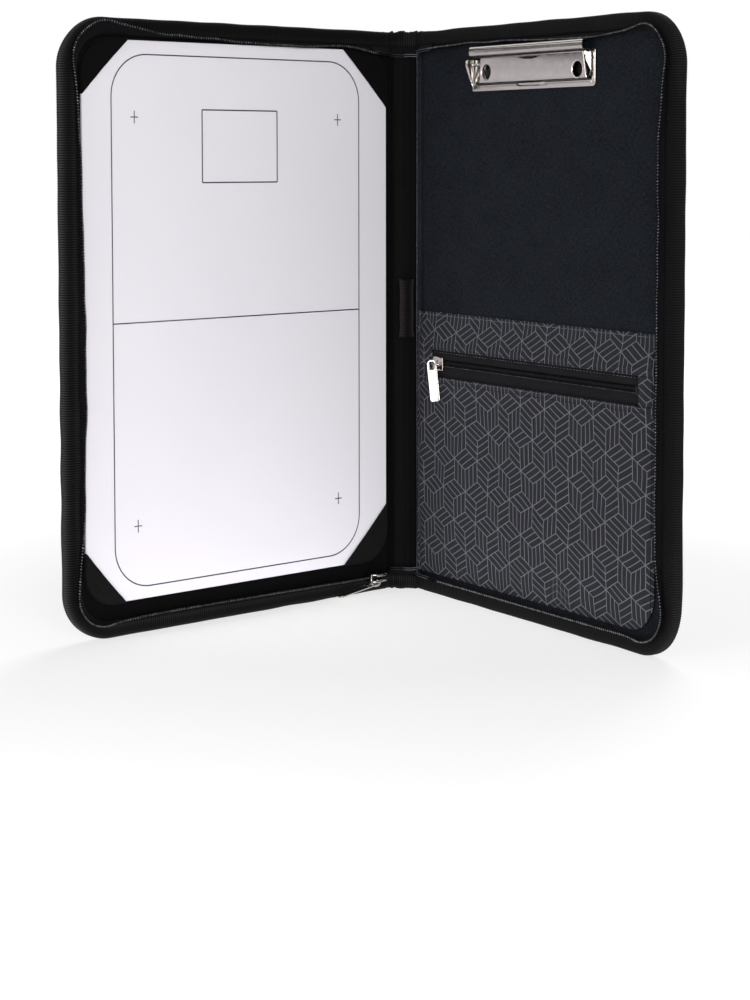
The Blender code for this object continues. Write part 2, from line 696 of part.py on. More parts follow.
def clip_rivet(name, reach):
    """A tubular rivet through the clip's base, the lining and the stiffener, as a turned shape."""
    base_top = ON_LINING + CLIP_SHEET
    flange_face = STIFFENER_TOP - GAP
    levels = [
        (0.0, base_top + GAP + RIVET_HEAD),
        (RIVET_HEAD_RADIUS, base_top + GAP + RIVET_HEAD),
        (RIVET_HEAD_RADIUS, base_top + GAP),
        (RIVET_SHANK_RADIUS, base_top + GAP),
        (RIVET_SHANK_RADIUS, flange_face),
        (RIVET_FLANGE_RADIUS, flange_face),
        (RIVET_FLANGE_RADIUS, flange_face - RIVET_FLANGE),
        (0.0, flange_face - RIVET_FLANGE),
    ]
    bm = bmesh.new()
    line = [bm.verts.new((radius, 0, depth)) for radius, depth in levels]
    for start, end in zip(line, line[1:]):
        bm.edges.new((start, end))
    mesh = bpy.data.meshes.new(name)
    bm.to_mesh(mesh)
    bm.free()
    mesh.materials.append(NICKEL)
    rivet = bpy.data.objects.new(name, mesh)
    rivet.location = (BACK * reach, 0, RIVET_HEIGHT)
    rivet.rotation_euler = (-math.pi / 2, 0, 0)
    rivet.parent = back
    parts.objects.link(rivet)
    turn = rivet.modifiers.new("turn", "SCREW")
    turn.steps = ROUND_STEPS
    turn.render_steps = ROUND_STEPS
    turn.use_merge_vertices = True
    turn.merge_threshold = 0.00001
    turn.use_smooth_shade = False


def rivet_cutters(name, reach):
    """The hole for a rivet's shank, and the hollow in the foam for its flange."""
    radius = RIVET_SHANK_RADIUS + GAP
    deep = STIFFENER_TOP - GAP / 2
    shank = rod_mesh(radius, (reach, deep, RIVET_HEIGHT), (reach, ON_LINING + 2 * CLIP_SHEET, RIVET_HEIGHT))
    hollow = rod_mesh(
        RIVET_FLANGE_RADIUS + GAP, (reach, FOAM_TOP + GAP, RIVET_HEIGHT), (reach, LINING_TOP, RIVET_HEIGHT)
    )
    return (
        finish("shank_hole_" + name, shank, None, back, BACK, cutters),
        finish("flange_hollow_" + name, hollow, None, back, BACK, cutters),
    )


def clip_base(pin_hole, shank_holes):
    """A base plate with a bearing ear turned up at each end."""
    low = CLIP_CENTRE - CLIP_LENGTH / 2
    high = CLIP_CENTRE + CLIP_LENGTH / 2
    bm = bmesh.new()
    columns = []
    for height in (CLIP_BASE_BOTTOM, EAR_BOTTOM, EAR_TOP, CLIP_BASE_TOP):
        columns.append([bm.verts.new((reach, ON_LINING, height)) for reach in (low, high)])
    for lower, upper in zip(columns, columns[1:]):
        bm.faces.new((lower[0], lower[1], upper[1], upper[0]))
    for end in (0, 1):
        edge = bm.edges.get((columns[1][end], columns[2][end]))
        made = bmesh.ops.extrude_edge_only(bm, edges=[edge])
        for vert in made["geom"]:
            if isinstance(vert, bmesh.types.BMVert):
                vert.co.y = ON_LINING + EAR_STAND
                vert.co.z = max(vert.co.z, EAR_TOP - EAR_CROWN_WIDTH)
    base = finish("clip_base_plate", bm, NICKEL, back, BACK, open_sheet=True)
    thicken(base, CLIP_SHEET, 1.0)
    for hole in (pin_hole, *shank_holes):
        cut(base, hole)


def jaw_profile():
    """Height and depth of the jaw's outer face, from the rolled top edge to the gripping lip."""
    roll = (PIVOT_HEIGHT + JAW_ROLL_ABOVE, ON_LINING + JAW_ROLL_STAND)
    points = arc(roll, JAW_ROLL_RADIUS, JAW_ROLL_START, JAW_ROLL_END, ROLL_STEPS)
    points += [(PIVOT_HEIGHT + above, ON_LINING + stand) for above, stand in JAW_BENDS]
    return points


def clip_jaw(pin_hole, access_holes):
    """The lever plate with its rolled edge, gripping lip and two end flaps on the pin."""
    bm = bmesh.new()
    rows = []
    for height, depth in jaw_profile():
        rows.append([bm.verts.new((reach, depth, height)) for reach in (JAW_SPINE_END, JAW_OUTER_END)])
    plate_top = ROLL_STEPS + 2
    order = [plate_top] + [i for i in range(len(rows) - 1) if i != plate_top]
    for i in order:
        bm.faces.new((rows[i][0], rows[i][1], rows[i + 1][1], rows[i + 1][0]))
    for end, reach in enumerate((JAW_SPINE_END, JAW_OUTER_END)):
        edge_of_plate = [rows[plate_top][end], rows[plate_top + 1][end]]
        flap = [
            bm.verts.new((reach, ON_LINING + PIVOT_STAND + stand, PIVOT_HEIGHT + above))
            for above, stand in JAW_FLAP
        ]
        bm.faces.new(edge_of_plate + flap)
    bmesh.ops.translate(bm, vec=(0, -PIVOT_DEPTH, -PIVOT_HEIGHT), verts=bm.verts)
    jaw = finish("clip_jaw_plate", bm, NICKEL, jaw_hinge, BACK, open_sheet=True)
    thicken(jaw, JAW_SHEET, -1.0)
    for hole in (pin_hole, *access_holes):
        cut(jaw, hole)


def clip_spring(name, reach):
    """A torsion spring round the pin: one wound wire with a short straight tail at each end."""
    steps = round(SPRING_POINTS * SPRING_TURNS)
    angles = [-math.pi / 2 + 2 * math.pi * SPRING_TURNS * i / steps for i in range(steps + 1)]
    climb = SPRING_PITCH / (2 * math.pi)
    coil = [
        Vector((
            BACK * (reach + climb * (a - angles[0])),
            PIVOT_DEPTH + SPRING_RADIUS * math.cos(a),
            PIVOT_HEIGHT + SPRING_RADIUS * math.sin(a),
        ))
        for a in angles
    ]
    tail_in = coil[0] - Vector((0, SPRING_WIRE, 0))
    tail_out = coil[-1] + Vector((0, 0, SPRING_WIRE))
    points = [tail_in] + coil + [tail_out]
    half_turn = SPRING_POINTS // 2
    gaps = [
        (a - b).length - SPRING_WIRE
        for i, a in enumerate(points)
        for b in points[i + half_turn :]
    ]
    print(f"{name}: least gap between turns {min(gaps) * 1000:.2f} mm")
    shape = bpy.data.curves.new(name, "CURVE")
    shape.dimensions = "3D"
    shape.bevel_depth = SPRING_WIRE / 2
    shape.bevel_resolution = 1
    shape.use_fill_caps = True
    spline = shape.splines.new("POLY")
    spline.points.add(len(points) - 1)
    for point, place in zip(spline.points, points):
        point.co = (*place, 1.0)
    shape.materials.append(SPRING_STEEL)
    made = bpy.data.objects.new(name, shape)
    made.parent = back
    parts.objects.link(made)


def lever_clip(foam, stiffener, lining):
    """The whole clip, riveted through the back cover's lining and stiffener."""
    low = CLIP_CENTRE - CLIP_LENGTH / 2
    high = CLIP_CENTRE + CLIP_LENGTH / 2
    pin_ends = ((low - GAP, PIVOT_DEPTH, PIVOT_HEIGHT), (high + GAP, PIVOT_DEPTH, PIVOT_HEIGHT))
    pin = finish("clip_pivot_pin", rod_mesh(PIN_RADIUS, *pin_ends), NICKEL, back, BACK)
    smooth(pin)
    hole = rod_mesh(
        PIN_RADIUS + GAP,
        (low - CLIP_SHEET, PIVOT_DEPTH, PIVOT_HEIGHT),
        (high + CLIP_SHEET, PIVOT_DEPTH, PIVOT_HEIGHT),
    )
    pin_hole = finish("pin_hole", hole, None, back, BACK, cutters)
    shank_holes = []
    access_holes = []
    for name, way in (("spine_side", -1), ("outer_side", 1)):
        reach = JAW_CENTRE + way * RIVET_SPACING / 2
        clip_rivet("clip_rivet_" + name, reach)
        shank, hollow = rivet_cutters(name, reach)
        for layer in (stiffener, lining):
            cut(layer, shank)
        cut(foam, hollow)
        shank_holes.append(shank)
        opening = rod_mesh(
            JAW_HOLE_RADIUS, (reach, PIVOT_DEPTH, RIVET_HEIGHT), (reach, 2 * PIVOT_DEPTH, RIVET_HEIGHT)
        )
        access_holes.append(finish("access_hole_" + name, opening, None, back, BACK, cutters))
    clip_base(pin_hole, shank_holes)
    clip_jaw(pin_hole, access_holes)
    spring_length = SPRING_PITCH * SPRING_TURNS
    inset = JAW_SHEET + SPRING_WIRE
    clip_spring("clip_spring_spine_side", JAW_SPINE_END + inset)
    clip_spring("clip_spring_outer_side", JAW_OUTER_END - inset - spring_length)


# Bodies, each with its frame on its joint's axis
spine = frame("spine_frame", None, (0, 0, 0))
front = frame("front_crease", spine, (-SPINE_WIDTH / 2, 0, 0), (0, 0, math.pi + FOLD_AT_REST))
back = frame("back_crease", spine, (SPINE_WIDTH / 2, 0, 0), (0, 0, math.pi - FOLD_AT_REST))
jaw_hinge = frame("jaw_hinge", back, (0, PIVOT_DEPTH, PIVOT_HEIGHT))
main_slide = frame("main_slide", front, (MAIN_SLIDER_START, MID_DEPTH, TAPE_PLANE), (math.pi, 0, 0))
pocket_slide = frame(
    "pocket_slide", back, (-POCKET_SLIDER_START, POCKET_ZIP_DEPTH, POCKET_ZIP_HEIGHT), (-math.pi / 2, 0, 0)
)

spine_layer("spine_outer_fabric", 0.0, OUTER_FABRIC, OUTER_CLOTH)
spine_layer("spine_foam", FOAM_TOP, FOAM + GAP + STIFFENER, FOAM_GREY)
spine_layer("spine_lining", LINING_TOP, LINING, LINING_CLOTH)
for at_top, end_name in ((True, "top"), (False, "bottom")):
    spine_end(
        "spine_binding_" + end_name, binding_section(), RIBBED_BINDING, SPINE_WIDTH / 2, at_top, mitred=True
    )
    tab_half = SPINE_WIDTH / 2 - PANEL_DEPTH - END_TAB_SIDE_GAP
    spine_end(
        "zipper_end_tab_" + end_name, tape_section(TEETH_FACE), ZIPPER_TAPE, tab_half, at_top, mitred=False
    )
pen_loop()

cover("front", front, FRONT, ZIPPER_START)
tactics_board()
for outer in (True, False):
    for top in (True, False):
        place = ("outer_" if outer else "spine_") + ("top" if top else "bottom")
        corner_pocket("corner_pocket_" + place, outer, top)
webbing()

back_layers = cover("back", back, BACK, BACK_TEETH_START)
document_pocket()
lever_clip(*back_layers)

main_pull_height = slider("main_slider", main_slide, TOOTH_HEIGHT, MAIN_SLIDER_WIDTH)
main_pull = frame("main_pull", main_slide, (0, 0, main_pull_height), (0, -MAIN_PULL_DROOP, 0))
pull_tab("main_pull_tab", main_pull, MAIN_PULL_LENGTH, PULL_BAR / 2)

pocket_pull_height = slider("pocket_slider", pocket_slide, POCKET_TOOTH_HEIGHT, POCKET_SLIDER_WIDTH)
foot_place = (ARCH_SPAN - ARCH_FOOT) / 2
pocket_pull = frame(
    "pocket_pull", pocket_slide, (foot_place, 0, pocket_pull_height), (0, 0, math.pi / 2 + POCKET_PULL_LEAN)
)
pull_tab("pocket_pull_tab", pocket_pull, POCKET_PULL_LENGTH, -PULL_BAR)
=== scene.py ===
"""Looks of the zipped tactics folder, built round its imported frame.

Metres, +Z up. A place on a cover is given by its reach from the crease, its depth below the cover's
outer face, and its height above the foot. A negative reach lies on the spine.
"""

import json
import math

import bmesh
import bpy
import numpy as np
from mathutils import Matrix, Vector


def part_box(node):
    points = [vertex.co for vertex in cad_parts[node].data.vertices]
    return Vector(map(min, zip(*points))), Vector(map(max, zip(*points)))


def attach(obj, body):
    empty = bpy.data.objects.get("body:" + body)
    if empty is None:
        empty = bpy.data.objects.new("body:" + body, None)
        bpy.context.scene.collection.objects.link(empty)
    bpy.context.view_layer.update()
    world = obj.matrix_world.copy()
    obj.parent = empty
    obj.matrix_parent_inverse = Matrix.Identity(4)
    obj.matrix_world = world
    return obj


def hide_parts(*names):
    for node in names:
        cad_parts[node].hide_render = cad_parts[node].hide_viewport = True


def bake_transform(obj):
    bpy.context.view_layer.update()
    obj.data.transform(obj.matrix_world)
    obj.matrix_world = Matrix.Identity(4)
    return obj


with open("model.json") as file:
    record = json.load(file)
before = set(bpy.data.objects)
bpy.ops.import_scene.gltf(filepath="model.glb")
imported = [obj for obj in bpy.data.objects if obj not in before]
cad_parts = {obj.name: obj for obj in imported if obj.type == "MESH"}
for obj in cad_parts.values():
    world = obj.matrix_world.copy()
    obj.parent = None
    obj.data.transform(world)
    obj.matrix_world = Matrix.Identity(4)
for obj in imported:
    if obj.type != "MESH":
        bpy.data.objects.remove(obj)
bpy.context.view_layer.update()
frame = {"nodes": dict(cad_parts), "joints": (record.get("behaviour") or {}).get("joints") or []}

MM = 0.001
FRONT = -1
BACK = 1
SIDES = {FRONT: "front", BACK: "back"}
BODIES = {FRONT: "front_cover", BACK: "back_cover"}
UP = np.array([0.0, 0.0, 1.0])

joints = {joint["name"]: joint for joint in frame["joints"]}
CREASE = {
    FRONT: np.array(joints["front_crease"]["pos_m"]),
    BACK: np.array(joints["back_crease"]["pos_m"]),
}
ALONG = {
    FRONT: np.array(joints["main_zip_travel"]["axis"]),
    BACK: np.array(joints["pocket_zip_travel"]["axis"]),
}
INTO = {side: side * np.array([ALONG[side][1], -ALONG[side][0], 0.0]) for side in SIDES}
HALF_SPINE = CREASE[BACK][0]
FOLD = math.atan2(-ALONG[BACK][1], ALONG[BACK][0])
FOLD_ZONE = 7 * MM


# Places

def smoothstep(value):
    """A soft step from 0 to 1 while a value goes from 0 to 1."""
    value = np.clip(value, 0.0, 1.0)
    return value * value * (3 - 2 * value)


def fold(side, reach, depth, height):
    """World points of places on a cover, on the spine, or on the soft bend between them."""
    turn = FOLD * smoothstep((reach + FOLD_ZONE) / (2 * FOLD_ZONE))
    across = reach * np.cos(turn) - depth * np.sin(turn)
    away = -reach * np.sin(turn) - depth * np.cos(turn)
    return np.stack(np.broadcast_arrays(side * (HALF_SPINE + across), away, height), -1)


def coordinates(mesh):
    """The places of a mesh's vertices."""
    points = np.zeros(len(mesh.vertices) * 3)
    mesh.vertices.foreach_get("co", points)
    return points.reshape(-1, 3)


def cover_box(node, side):
    """Lowest and highest (reach, depth, height) of a CAD node on a cover."""
    points = coordinates(frame["nodes"][node].data) - CREASE[side]
    local = np.stack([points @ ALONG[side], points @ INTO[side], points[:, 2]], 1)
    return local.min(0), local.max(0)


def cover_matrix(side, reach, depth, height):
    """A frame on a cover: X along the reach, Y up, Z away from the lining."""
    place = Vector(CREASE[side] + reach * ALONG[side] + depth * INTO[side] + height * UP)
    made = Matrix.Identity(4)
    for column, axis in enumerate((ALONG[side], UP, INTO[side])):
        made.col[column].xyz = axis
    made.col[3].xyz = place
    return made


# A cover's outline, and how far the binding's two legs reach in from it
WIDTH, _, HEIGHT = cover_box("back_binding", BACK)[1]
RADIUS = 29 * MM
LINING_FACE = cover_box("back_lining", BACK)[1][1]
OUTER_LEG = 10.5 * MM
INNER_LEG = 9.2 * MM


def edge_distance(reach, height):
    """How far inside a cover's rounded outline a place is."""
    across = reach - (WIDTH - RADIUS)
    beyond = np.maximum(RADIUS - height, height - (HEIGHT - RADIUS))
    straight = np.minimum(WIDTH - reach, np.minimum(height, HEIGHT - height))
    corner = RADIUS - np.hypot(np.maximum(across, 0), np.maximum(beyond, 0))
    return np.where((across > 0) & (beyond > 0), corner, straight)


# Lengths along a cover's edge: bottom or top with half the spine, one corner, the side, and all of it
FLAT_RUN = WIDTH - RADIUS + HALF_SPINE
ARC_RUN = math.pi / 2 * RADIUS
SIDE_RUN = HEIGHT - 2 * RADIUS
EDGE_RUN = 2 * FLAT_RUN + 2 * ARC_RUN + SIDE_RUN


def edge_place(run):
    """Reach, height and inward way along a cover's edge, run from the spine's middle at the foot."""
    run = np.asarray(run, float)
    mirrored = run > EDGE_RUN / 2
    way = np.where(mirrored, EDGE_RUN - run, run)
    angle = np.clip((way - FLAT_RUN) / RADIUS, 0, math.pi / 2)
    reach = np.minimum(way - HALF_SPINE, WIDTH - RADIUS) + RADIUS * np.sin(angle)
    height = RADIUS * (1 - np.cos(angle)) + np.maximum(way - FLAT_RUN - ARC_RUN, 0)
    in_reach, in_height = -np.sin(angle), np.cos(angle)
    return (
        reach,
        np.where(mirrored, HEIGHT - height, height),
        in_reach,
        np.where(mirrored, -in_height, in_height),
    )


def edge_point(side, run, inset, depth):
    """World points along a cover's edge, some way in from it."""
    reach, height, in_reach, in_height = edge_place(run)
    return fold(side, reach + inset * in_reach, depth, height + inset * in_height)


def ripple(seed, length, *places):
    """Smooth unevenness, mostly from -1 to 1, in waves of about one length."""
    draw = np.random.default_rng(seed)
    total, waves = 0.0, 7
    for _ in range(waves):
        way = draw.normal(size=len(places))
        way *= 2 * math.pi / (np.linalg.norm(way) * length * draw.uniform(0.6, 1.7))
        total = total + np.sin(sum(w * p for w, p in zip(way, places)) + draw.uniform(0, 2 * math.pi))
    return total / math.sqrt(waves)


def steps(start, end, size):
    """Even steps between two values, both included."""
    return np.linspace(start, end, max(2, round((end - start) / size) + 1))


def unit(ways):
    """Ways scaled to a length of one."""
    return ways / np.linalg.norm(ways, axis=-1, keepdims=True)


def run_along(points):
    """How far along a line of points each of them lies."""
    return np.concatenate([[0], np.cumsum(np.linalg.norm(np.diff(points, axis=0), axis=1))])


def circle(count):
    """Even angles round a circle."""
    return 2 * math.pi * np.arange(count) / count


# Meshes

def add_object(name, data):
    """A new object in the scene."""
    made = bpy.data.objects.new(name, data)
    bpy.context.scene.collection.objects.link(made)
    return made


def build(name, points, quads, look, uv=None, tris=()):
    """An object from points, quads and triangles, with a UV pair for each corner."""
    points = np.asarray(points, float).reshape(-1, 3)
    quads = np.asarray(quads, np.int32).reshape(-1, 4)
    tris = np.asarray(tris, np.int32).reshape(-1, 3)
    corners = np.concatenate([quads.ravel(), tris.ravel()])
    starts = np.concatenate([4 * np.arange(len(quads)), 4 * len(quads) + 3 * np.arange(len(tris))])
    mesh = bpy.data.meshes.new(name)
    mesh.vertices.add(len(points))
    mesh.vertices.foreach_set("co", points.astype(np.float32).ravel())
    mesh.loops.add(len(corners))
    mesh.loops.foreach_set("vertex_index", corners)
    mesh.polygons.add(len(starts))
    mesh.polygons.foreach_set("loop_start", starts.astype(np.int32))
    mesh.polygons.foreach_set("use_smooth", np.ones(len(starts), bool))
    mesh.update(calc_edges=True)
    if uv is not None:
        uv = np.asarray(uv, np.float32).reshape(-1, 2)
        if len(uv) < len(corners):
            uv = np.concatenate([uv, np.zeros((len(corners) - len(uv), 2), np.float32)])
        mesh.uv_layers.new(name="cloth").data.foreach_set("uv", uv.ravel())
    mesh.materials.append(look)
    return add_object(name, mesh)


def face_outward(made, merge=0.0):
    """Turns the faces of a closed mesh outwards, after merging points that coincide."""
    bm = bmesh.new()
    bm.from_mesh(made.data)
    if merge:
        bmesh.ops.remove_doubles(bm, verts=bm.verts, dist=merge)
    bmesh.ops.recalc_face_normals(bm, faces=bm.faces)
    bm.to_mesh(made.data)
    bm.free()
    return made


def grid_corners(rows, columns, wrap=False):
    """Row and column numbers of the four corners of each cell of a grid."""
    last = columns if wrap else columns - 1
    i, j = np.meshgrid(np.arange(rows - 1), np.arange(last), indexing="ij")
    i, j = i.ravel(), j.ravel()
    return np.stack([i, i + 1, i + 1, i], 1), np.stack([j, j, j + 1, j + 1], 1)


def tube(name, rings, look, lengths, widths, capped=True):
    """A closed skin over rings of points. lengths and widths are the UV along and round it."""
    rows, columns = rings.shape[:2]
    i, j = grid_corners(rows, columns, wrap=True)
    points = rings.reshape(-1, 3)
    uv = np.stack([np.asarray(lengths)[i], np.asarray(widths)[j]], -1)
    tris = []
    if capped:
        points = np.concatenate([points, rings[:1].mean(1), rings[-1:].mean(1)])
        k = np.arange(columns)
        for centre, start in ((rows * columns, 0), (rows * columns + 1, (rows - 1) * columns)):
            tris.append(np.stack([np.full(columns, centre), start + k, start + (k + 1) % columns], 1))
        tris = np.concatenate(tris)
    return face_outward(build(name, points, i * columns + j % columns, look, uv, tris))


def slab(name, outer, inner, uv, look, rims=(), merge=0.0):
    """A sheet between two grids of points, closed round its rim through optional loops of points."""
    rows, columns = outer.shape[:2]
    i, j = grid_corners(rows, columns)
    count = rows * columns
    rim = np.array(
        list(range(columns))
        + [r * columns + columns - 1 for r in range(1, rows)]
        + [(rows - 1) * columns + c for c in range(columns - 2, -1, -1)]
        + [r * columns for r in range(rows - 2, 0, -1)]
    )
    between = [2 * count + k * len(rim) + np.arange(len(rim)) for k in range(len(rims))]
    loops = [rim, *between, rim + count]
    cells = i * columns + j
    quads = [cells, cells[:, ::-1] + count]
    flat = uv.reshape(-1, 2)
    uvs = [flat[cells], flat[cells[:, ::-1]]]
    for one, other in zip(loops, loops[1:]):
        quads.append(np.stack([one, other, np.roll(other, -1), np.roll(one, -1)], 1))
        edge = flat[rim]
        uvs.append(np.stack([edge, edge, np.roll(edge, -1, 0), np.roll(edge, -1, 0)], 1))
    points = np.concatenate([outer.reshape(-1, 3), inner.reshape(-1, 3), *rims])
    return face_outward(build(name, points, np.concatenate(quads), look, np.concatenate(uvs)), merge)


# A way that no thread, wire or cord here follows
ASKEW = np.array([0.31, 0.52, 0.79])


def along_curve(points, radius, sides, width=None, flat_way=ASKEW):
    """Rings of a round or flattened rod along a line of points."""
    points = np.asarray(points, float)
    ahead = unit(np.gradient(points, axis=0))
    first = unit(np.cross(ahead, flat_way))
    second = np.cross(ahead, first)
    angle = circle(sides)
    across = first[:, None] * np.cos(angle)[:, None] * (width or radius)
    return points[:, None] + across + second[:, None] * np.sin(angle)[:, None] * radius


def rod(name, points, radius, look, sides=8, width=None, flat_way=ASKEW):
    """A round or flattened rod along a line of points."""
    rings = along_curve(points, radius, sides, width, flat_way)
    around = 2 * math.pi * radius * np.arange(sides + 1) / sides
    return tube(name, rings, look, run_along(points), around)


def stitches(name, points, outward, look, radius=0.2 * MM, seed=1):
    """A row of thread stitches along a line of points, each dipping into the cloth at its ends."""
    pitch, length = 2.9 * MM, 2.2 * MM
    run = run_along(points)
    count = int((run[-1] - length) / pitch)
    draw = np.random.default_rng(seed)
    rings, sides = 5, 6
    start = np.arange(count) * pitch + draw.uniform(-0.15, 0.15, count) * MM + 0.3 * MM
    share = np.linspace(0, 1, rings)
    place = start[:, None] + share * length

    def at(values):
        return np.stack([np.interp(place, run, values[:, k]) for k in range(3)], -1)

    centre, out = at(points), unit(at(np.broadcast_to(outward, points.shape)))
    side = np.cross(unit(np.gradient(centre, axis=1)), out)
    centre = centre + out * (radius * (1.4 * np.sin(math.pi * share) - 0.6))[:, None]
    centre = centre + side * (draw.uniform(-0.12, 0.12, (count, 1)) * MM * (share * 2 - 1))[..., None]
    thick = radius * (0.55 + 0.45 * np.sin(math.pi * share))
    angle = circle(sides)
    ring = (
        centre[:, :, None]
        + side[:, :, None] * (np.cos(angle)[:, None] * thick[:, None, None])
        + out[:, :, None] * (np.sin(angle)[:, None] * thick[:, None, None])
    )
    i, j = grid_corners(rings, sides, wrap=True)
    base = i * sides + j % sides
    offsets = (np.arange(count) * rings * sides)[:, None, None]
    quads = (base[None] + offsets).reshape(-1, 4)
    k = np.arange(1, sides - 1)
    cap = np.concatenate([
        np.stack([0 * k, k, k + 1], 1),
        (rings - 1) * sides + np.stack([0 * k, k + 1, k], 1),
    ])
    tris = (cap[None] + offsets).reshape(-1, 3)
    uv = np.stack([i * length / rings, j * radius], -1)
    uvs = np.broadcast_to(uv, (count, *uv.shape))
    return face_outward(build(name, ring, quads, look, uvs, tris))


def ribbon(name, places, width, low, high, side, look, closed=False):
    """A flat line printed or sewn on a cover: a thin strip along (reach, height) places."""
    places = np.asarray(places, float)
    if closed:
        ahead = np.roll(places, -1, 0) - np.roll(places, 1, 0)
    else:
        ahead = np.gradient(places, axis=0)
    ahead = unit(ahead)
    across = np.stack([-ahead[:, 1], ahead[:, 0]], 1) * width / 2
    corners = []
    for way, depth in ((1, low), (1, high), (-1, high), (-1, low)):
        place = places + way * across
        corners.append(fold(side, place[:, 0], depth, place[:, 1]))
    rings = np.stack(corners, 1)
    if closed:
        rings = np.concatenate([rings, rings[:1]])
    lengths = np.arange(len(rings)) * width
    return tube(name, rings, look, lengths, np.arange(5) * width, capped=not closed)


def plate(name, outlines, thickness, look, matrix, bevel=0.15 * MM, rounds=2):
    """A flat plate with rounded edges from an outline and its holes, lying in X and Y of a frame."""
    shape = bpy.data.curves.new(name, "CURVE")
    shape.dimensions = "2D"
    shape.fill_mode = "BOTH"
    shape.extrude = thickness / 2 - bevel
    shape.bevel_depth = bevel
    shape.bevel_resolution = rounds
    shape.offset = -bevel
    for outline in outlines:
        spline = shape.splines.new("POLY")
        spline.use_cyclic_u = True
        spline.points.add(len(outline) - 1)
        for point, (x, y) in zip(spline.points, outline):
            point.co = (x, y, 0.0, 1.0)
    holder = add_object(name + "_shape", shape)
    depsgraph = bpy.context.evaluated_depsgraph_get()
    mesh = bpy.data.meshes.new_from_object(holder.evaluated_get(depsgraph))
    bpy.data.objects.remove(holder)
    mesh.name = name
    mesh.transform(matrix)
    mesh.materials.clear()
    mesh.materials.append(look)
    for polygon in mesh.polygons:
        polygon.use_smooth = True
    mesh.set_sharp_from_angle(angle=math.radians(40))
    return face_outward(add_object(name, mesh), merge=0.002 * MM)


def joined(name, members):
    """One object from several, each part with its own material."""
    bm = bmesh.new()
    looks = []
    for member in members:
        look = member.data.materials[0]
        if look not in looks:
            looks.append(look)
        begin = len(bm.faces)
        bm.from_mesh(member.data)
        bm.faces.ensure_lookup_table()
        for face in bm.faces[begin:]:
            face.material_index = looks.index(look)
    mesh = members[0].data.copy()
    mesh.materials.clear()
    for look in looks:
        mesh.materials.append(look)
    bm.to_mesh(mesh)
    bm.free()
    for member in members:
        bpy.data.objects.remove(member)
    mesh.name = name
    return add_object(name, mesh)


def arc(centre, radius, start, end, count):
    """Points along an arc between two angles in degrees."""
    angles = np.radians(np.linspace(start, end, count + 1))
    return [(centre[0] + radius * math.cos(a), centre[1] + radius * math.sin(a)) for a in angles]


def rounded(low, high, count, *radii):
    """A rectangle's outline; it has one radius, or four from its low-left corner anticlockwise."""
    (left, foot), (right, top) = low, high
    corners = ((left, foot, 1, 1), (right, foot, -1, 1), (right, top, -1, -1), (left, top, 1, -1))
    outline = []
    for number, (x, y, inward, up) in enumerate(corners):
        radius = radii[number % len(radii)]
        centre = (x + inward * radius, y + up * radius)
        outline += arc(centre, radius, 180 + 90 * number, 270 + 90 * number, count)
    return outline


# Materials

def tone(red, green, blue):
    """A colour from the values 0 to 255 that a picture shows."""
    parts = [value / 255 for value in (red, green, blue)]
    return (*[p / 12.92 if p <= 0.04045 else ((p + 0.055) / 1.055) ** 2.4 for p in parts], 1.0)


def scaled(colour, share):
    """A colour made darker or lighter by a share."""
    return (*[share * value for value in colour[:3]], 1.0)


class Value:
    """An output of a shader node; its sums, differences and products are Math nodes."""

    def __init__(self, tree, socket):
        self.tree = tree
        self.socket = socket

    def __add__(self, other):
        return self.tree.math("ADD", self, other)

    def __sub__(self, other):
        return self.tree.math("SUBTRACT", self, other)

    def __rsub__(self, other):
        return self.tree.math("SUBTRACT", other, self)

    def __mul__(self, other):
        return self.tree.math("MULTIPLY", self, other)


class Tree:
    """The shader nodes of a material or a world, and the calls that add them."""

    def __init__(self, owner):
        owner.use_nodes = True
        self.nodes = owner.node_tree.nodes
        self.links = owner.node_tree.links

    def join(self, socket, value):
        """Links a value to a socket, or sets a constant on it."""
        if isinstance(value, Value):
            self.links.new(value.socket, socket)
        else:
            socket.default_value = value

    def node(self, kind, *values, output=0, **settings):
        """Adds a node with its settings and its first inputs, and gives one of its outputs."""
        made = self.nodes.new("ShaderNode" + kind)
        for key, value in settings.items():
            setattr(made, key, value)
        for socket, value in zip(made.inputs, values):
            if value is not None:
                self.join(socket, value)
        return Value(self, made.outputs[output]) if made.outputs else None

    def math(self, operation, *values):
        return self.node("Math", *values, operation=operation)


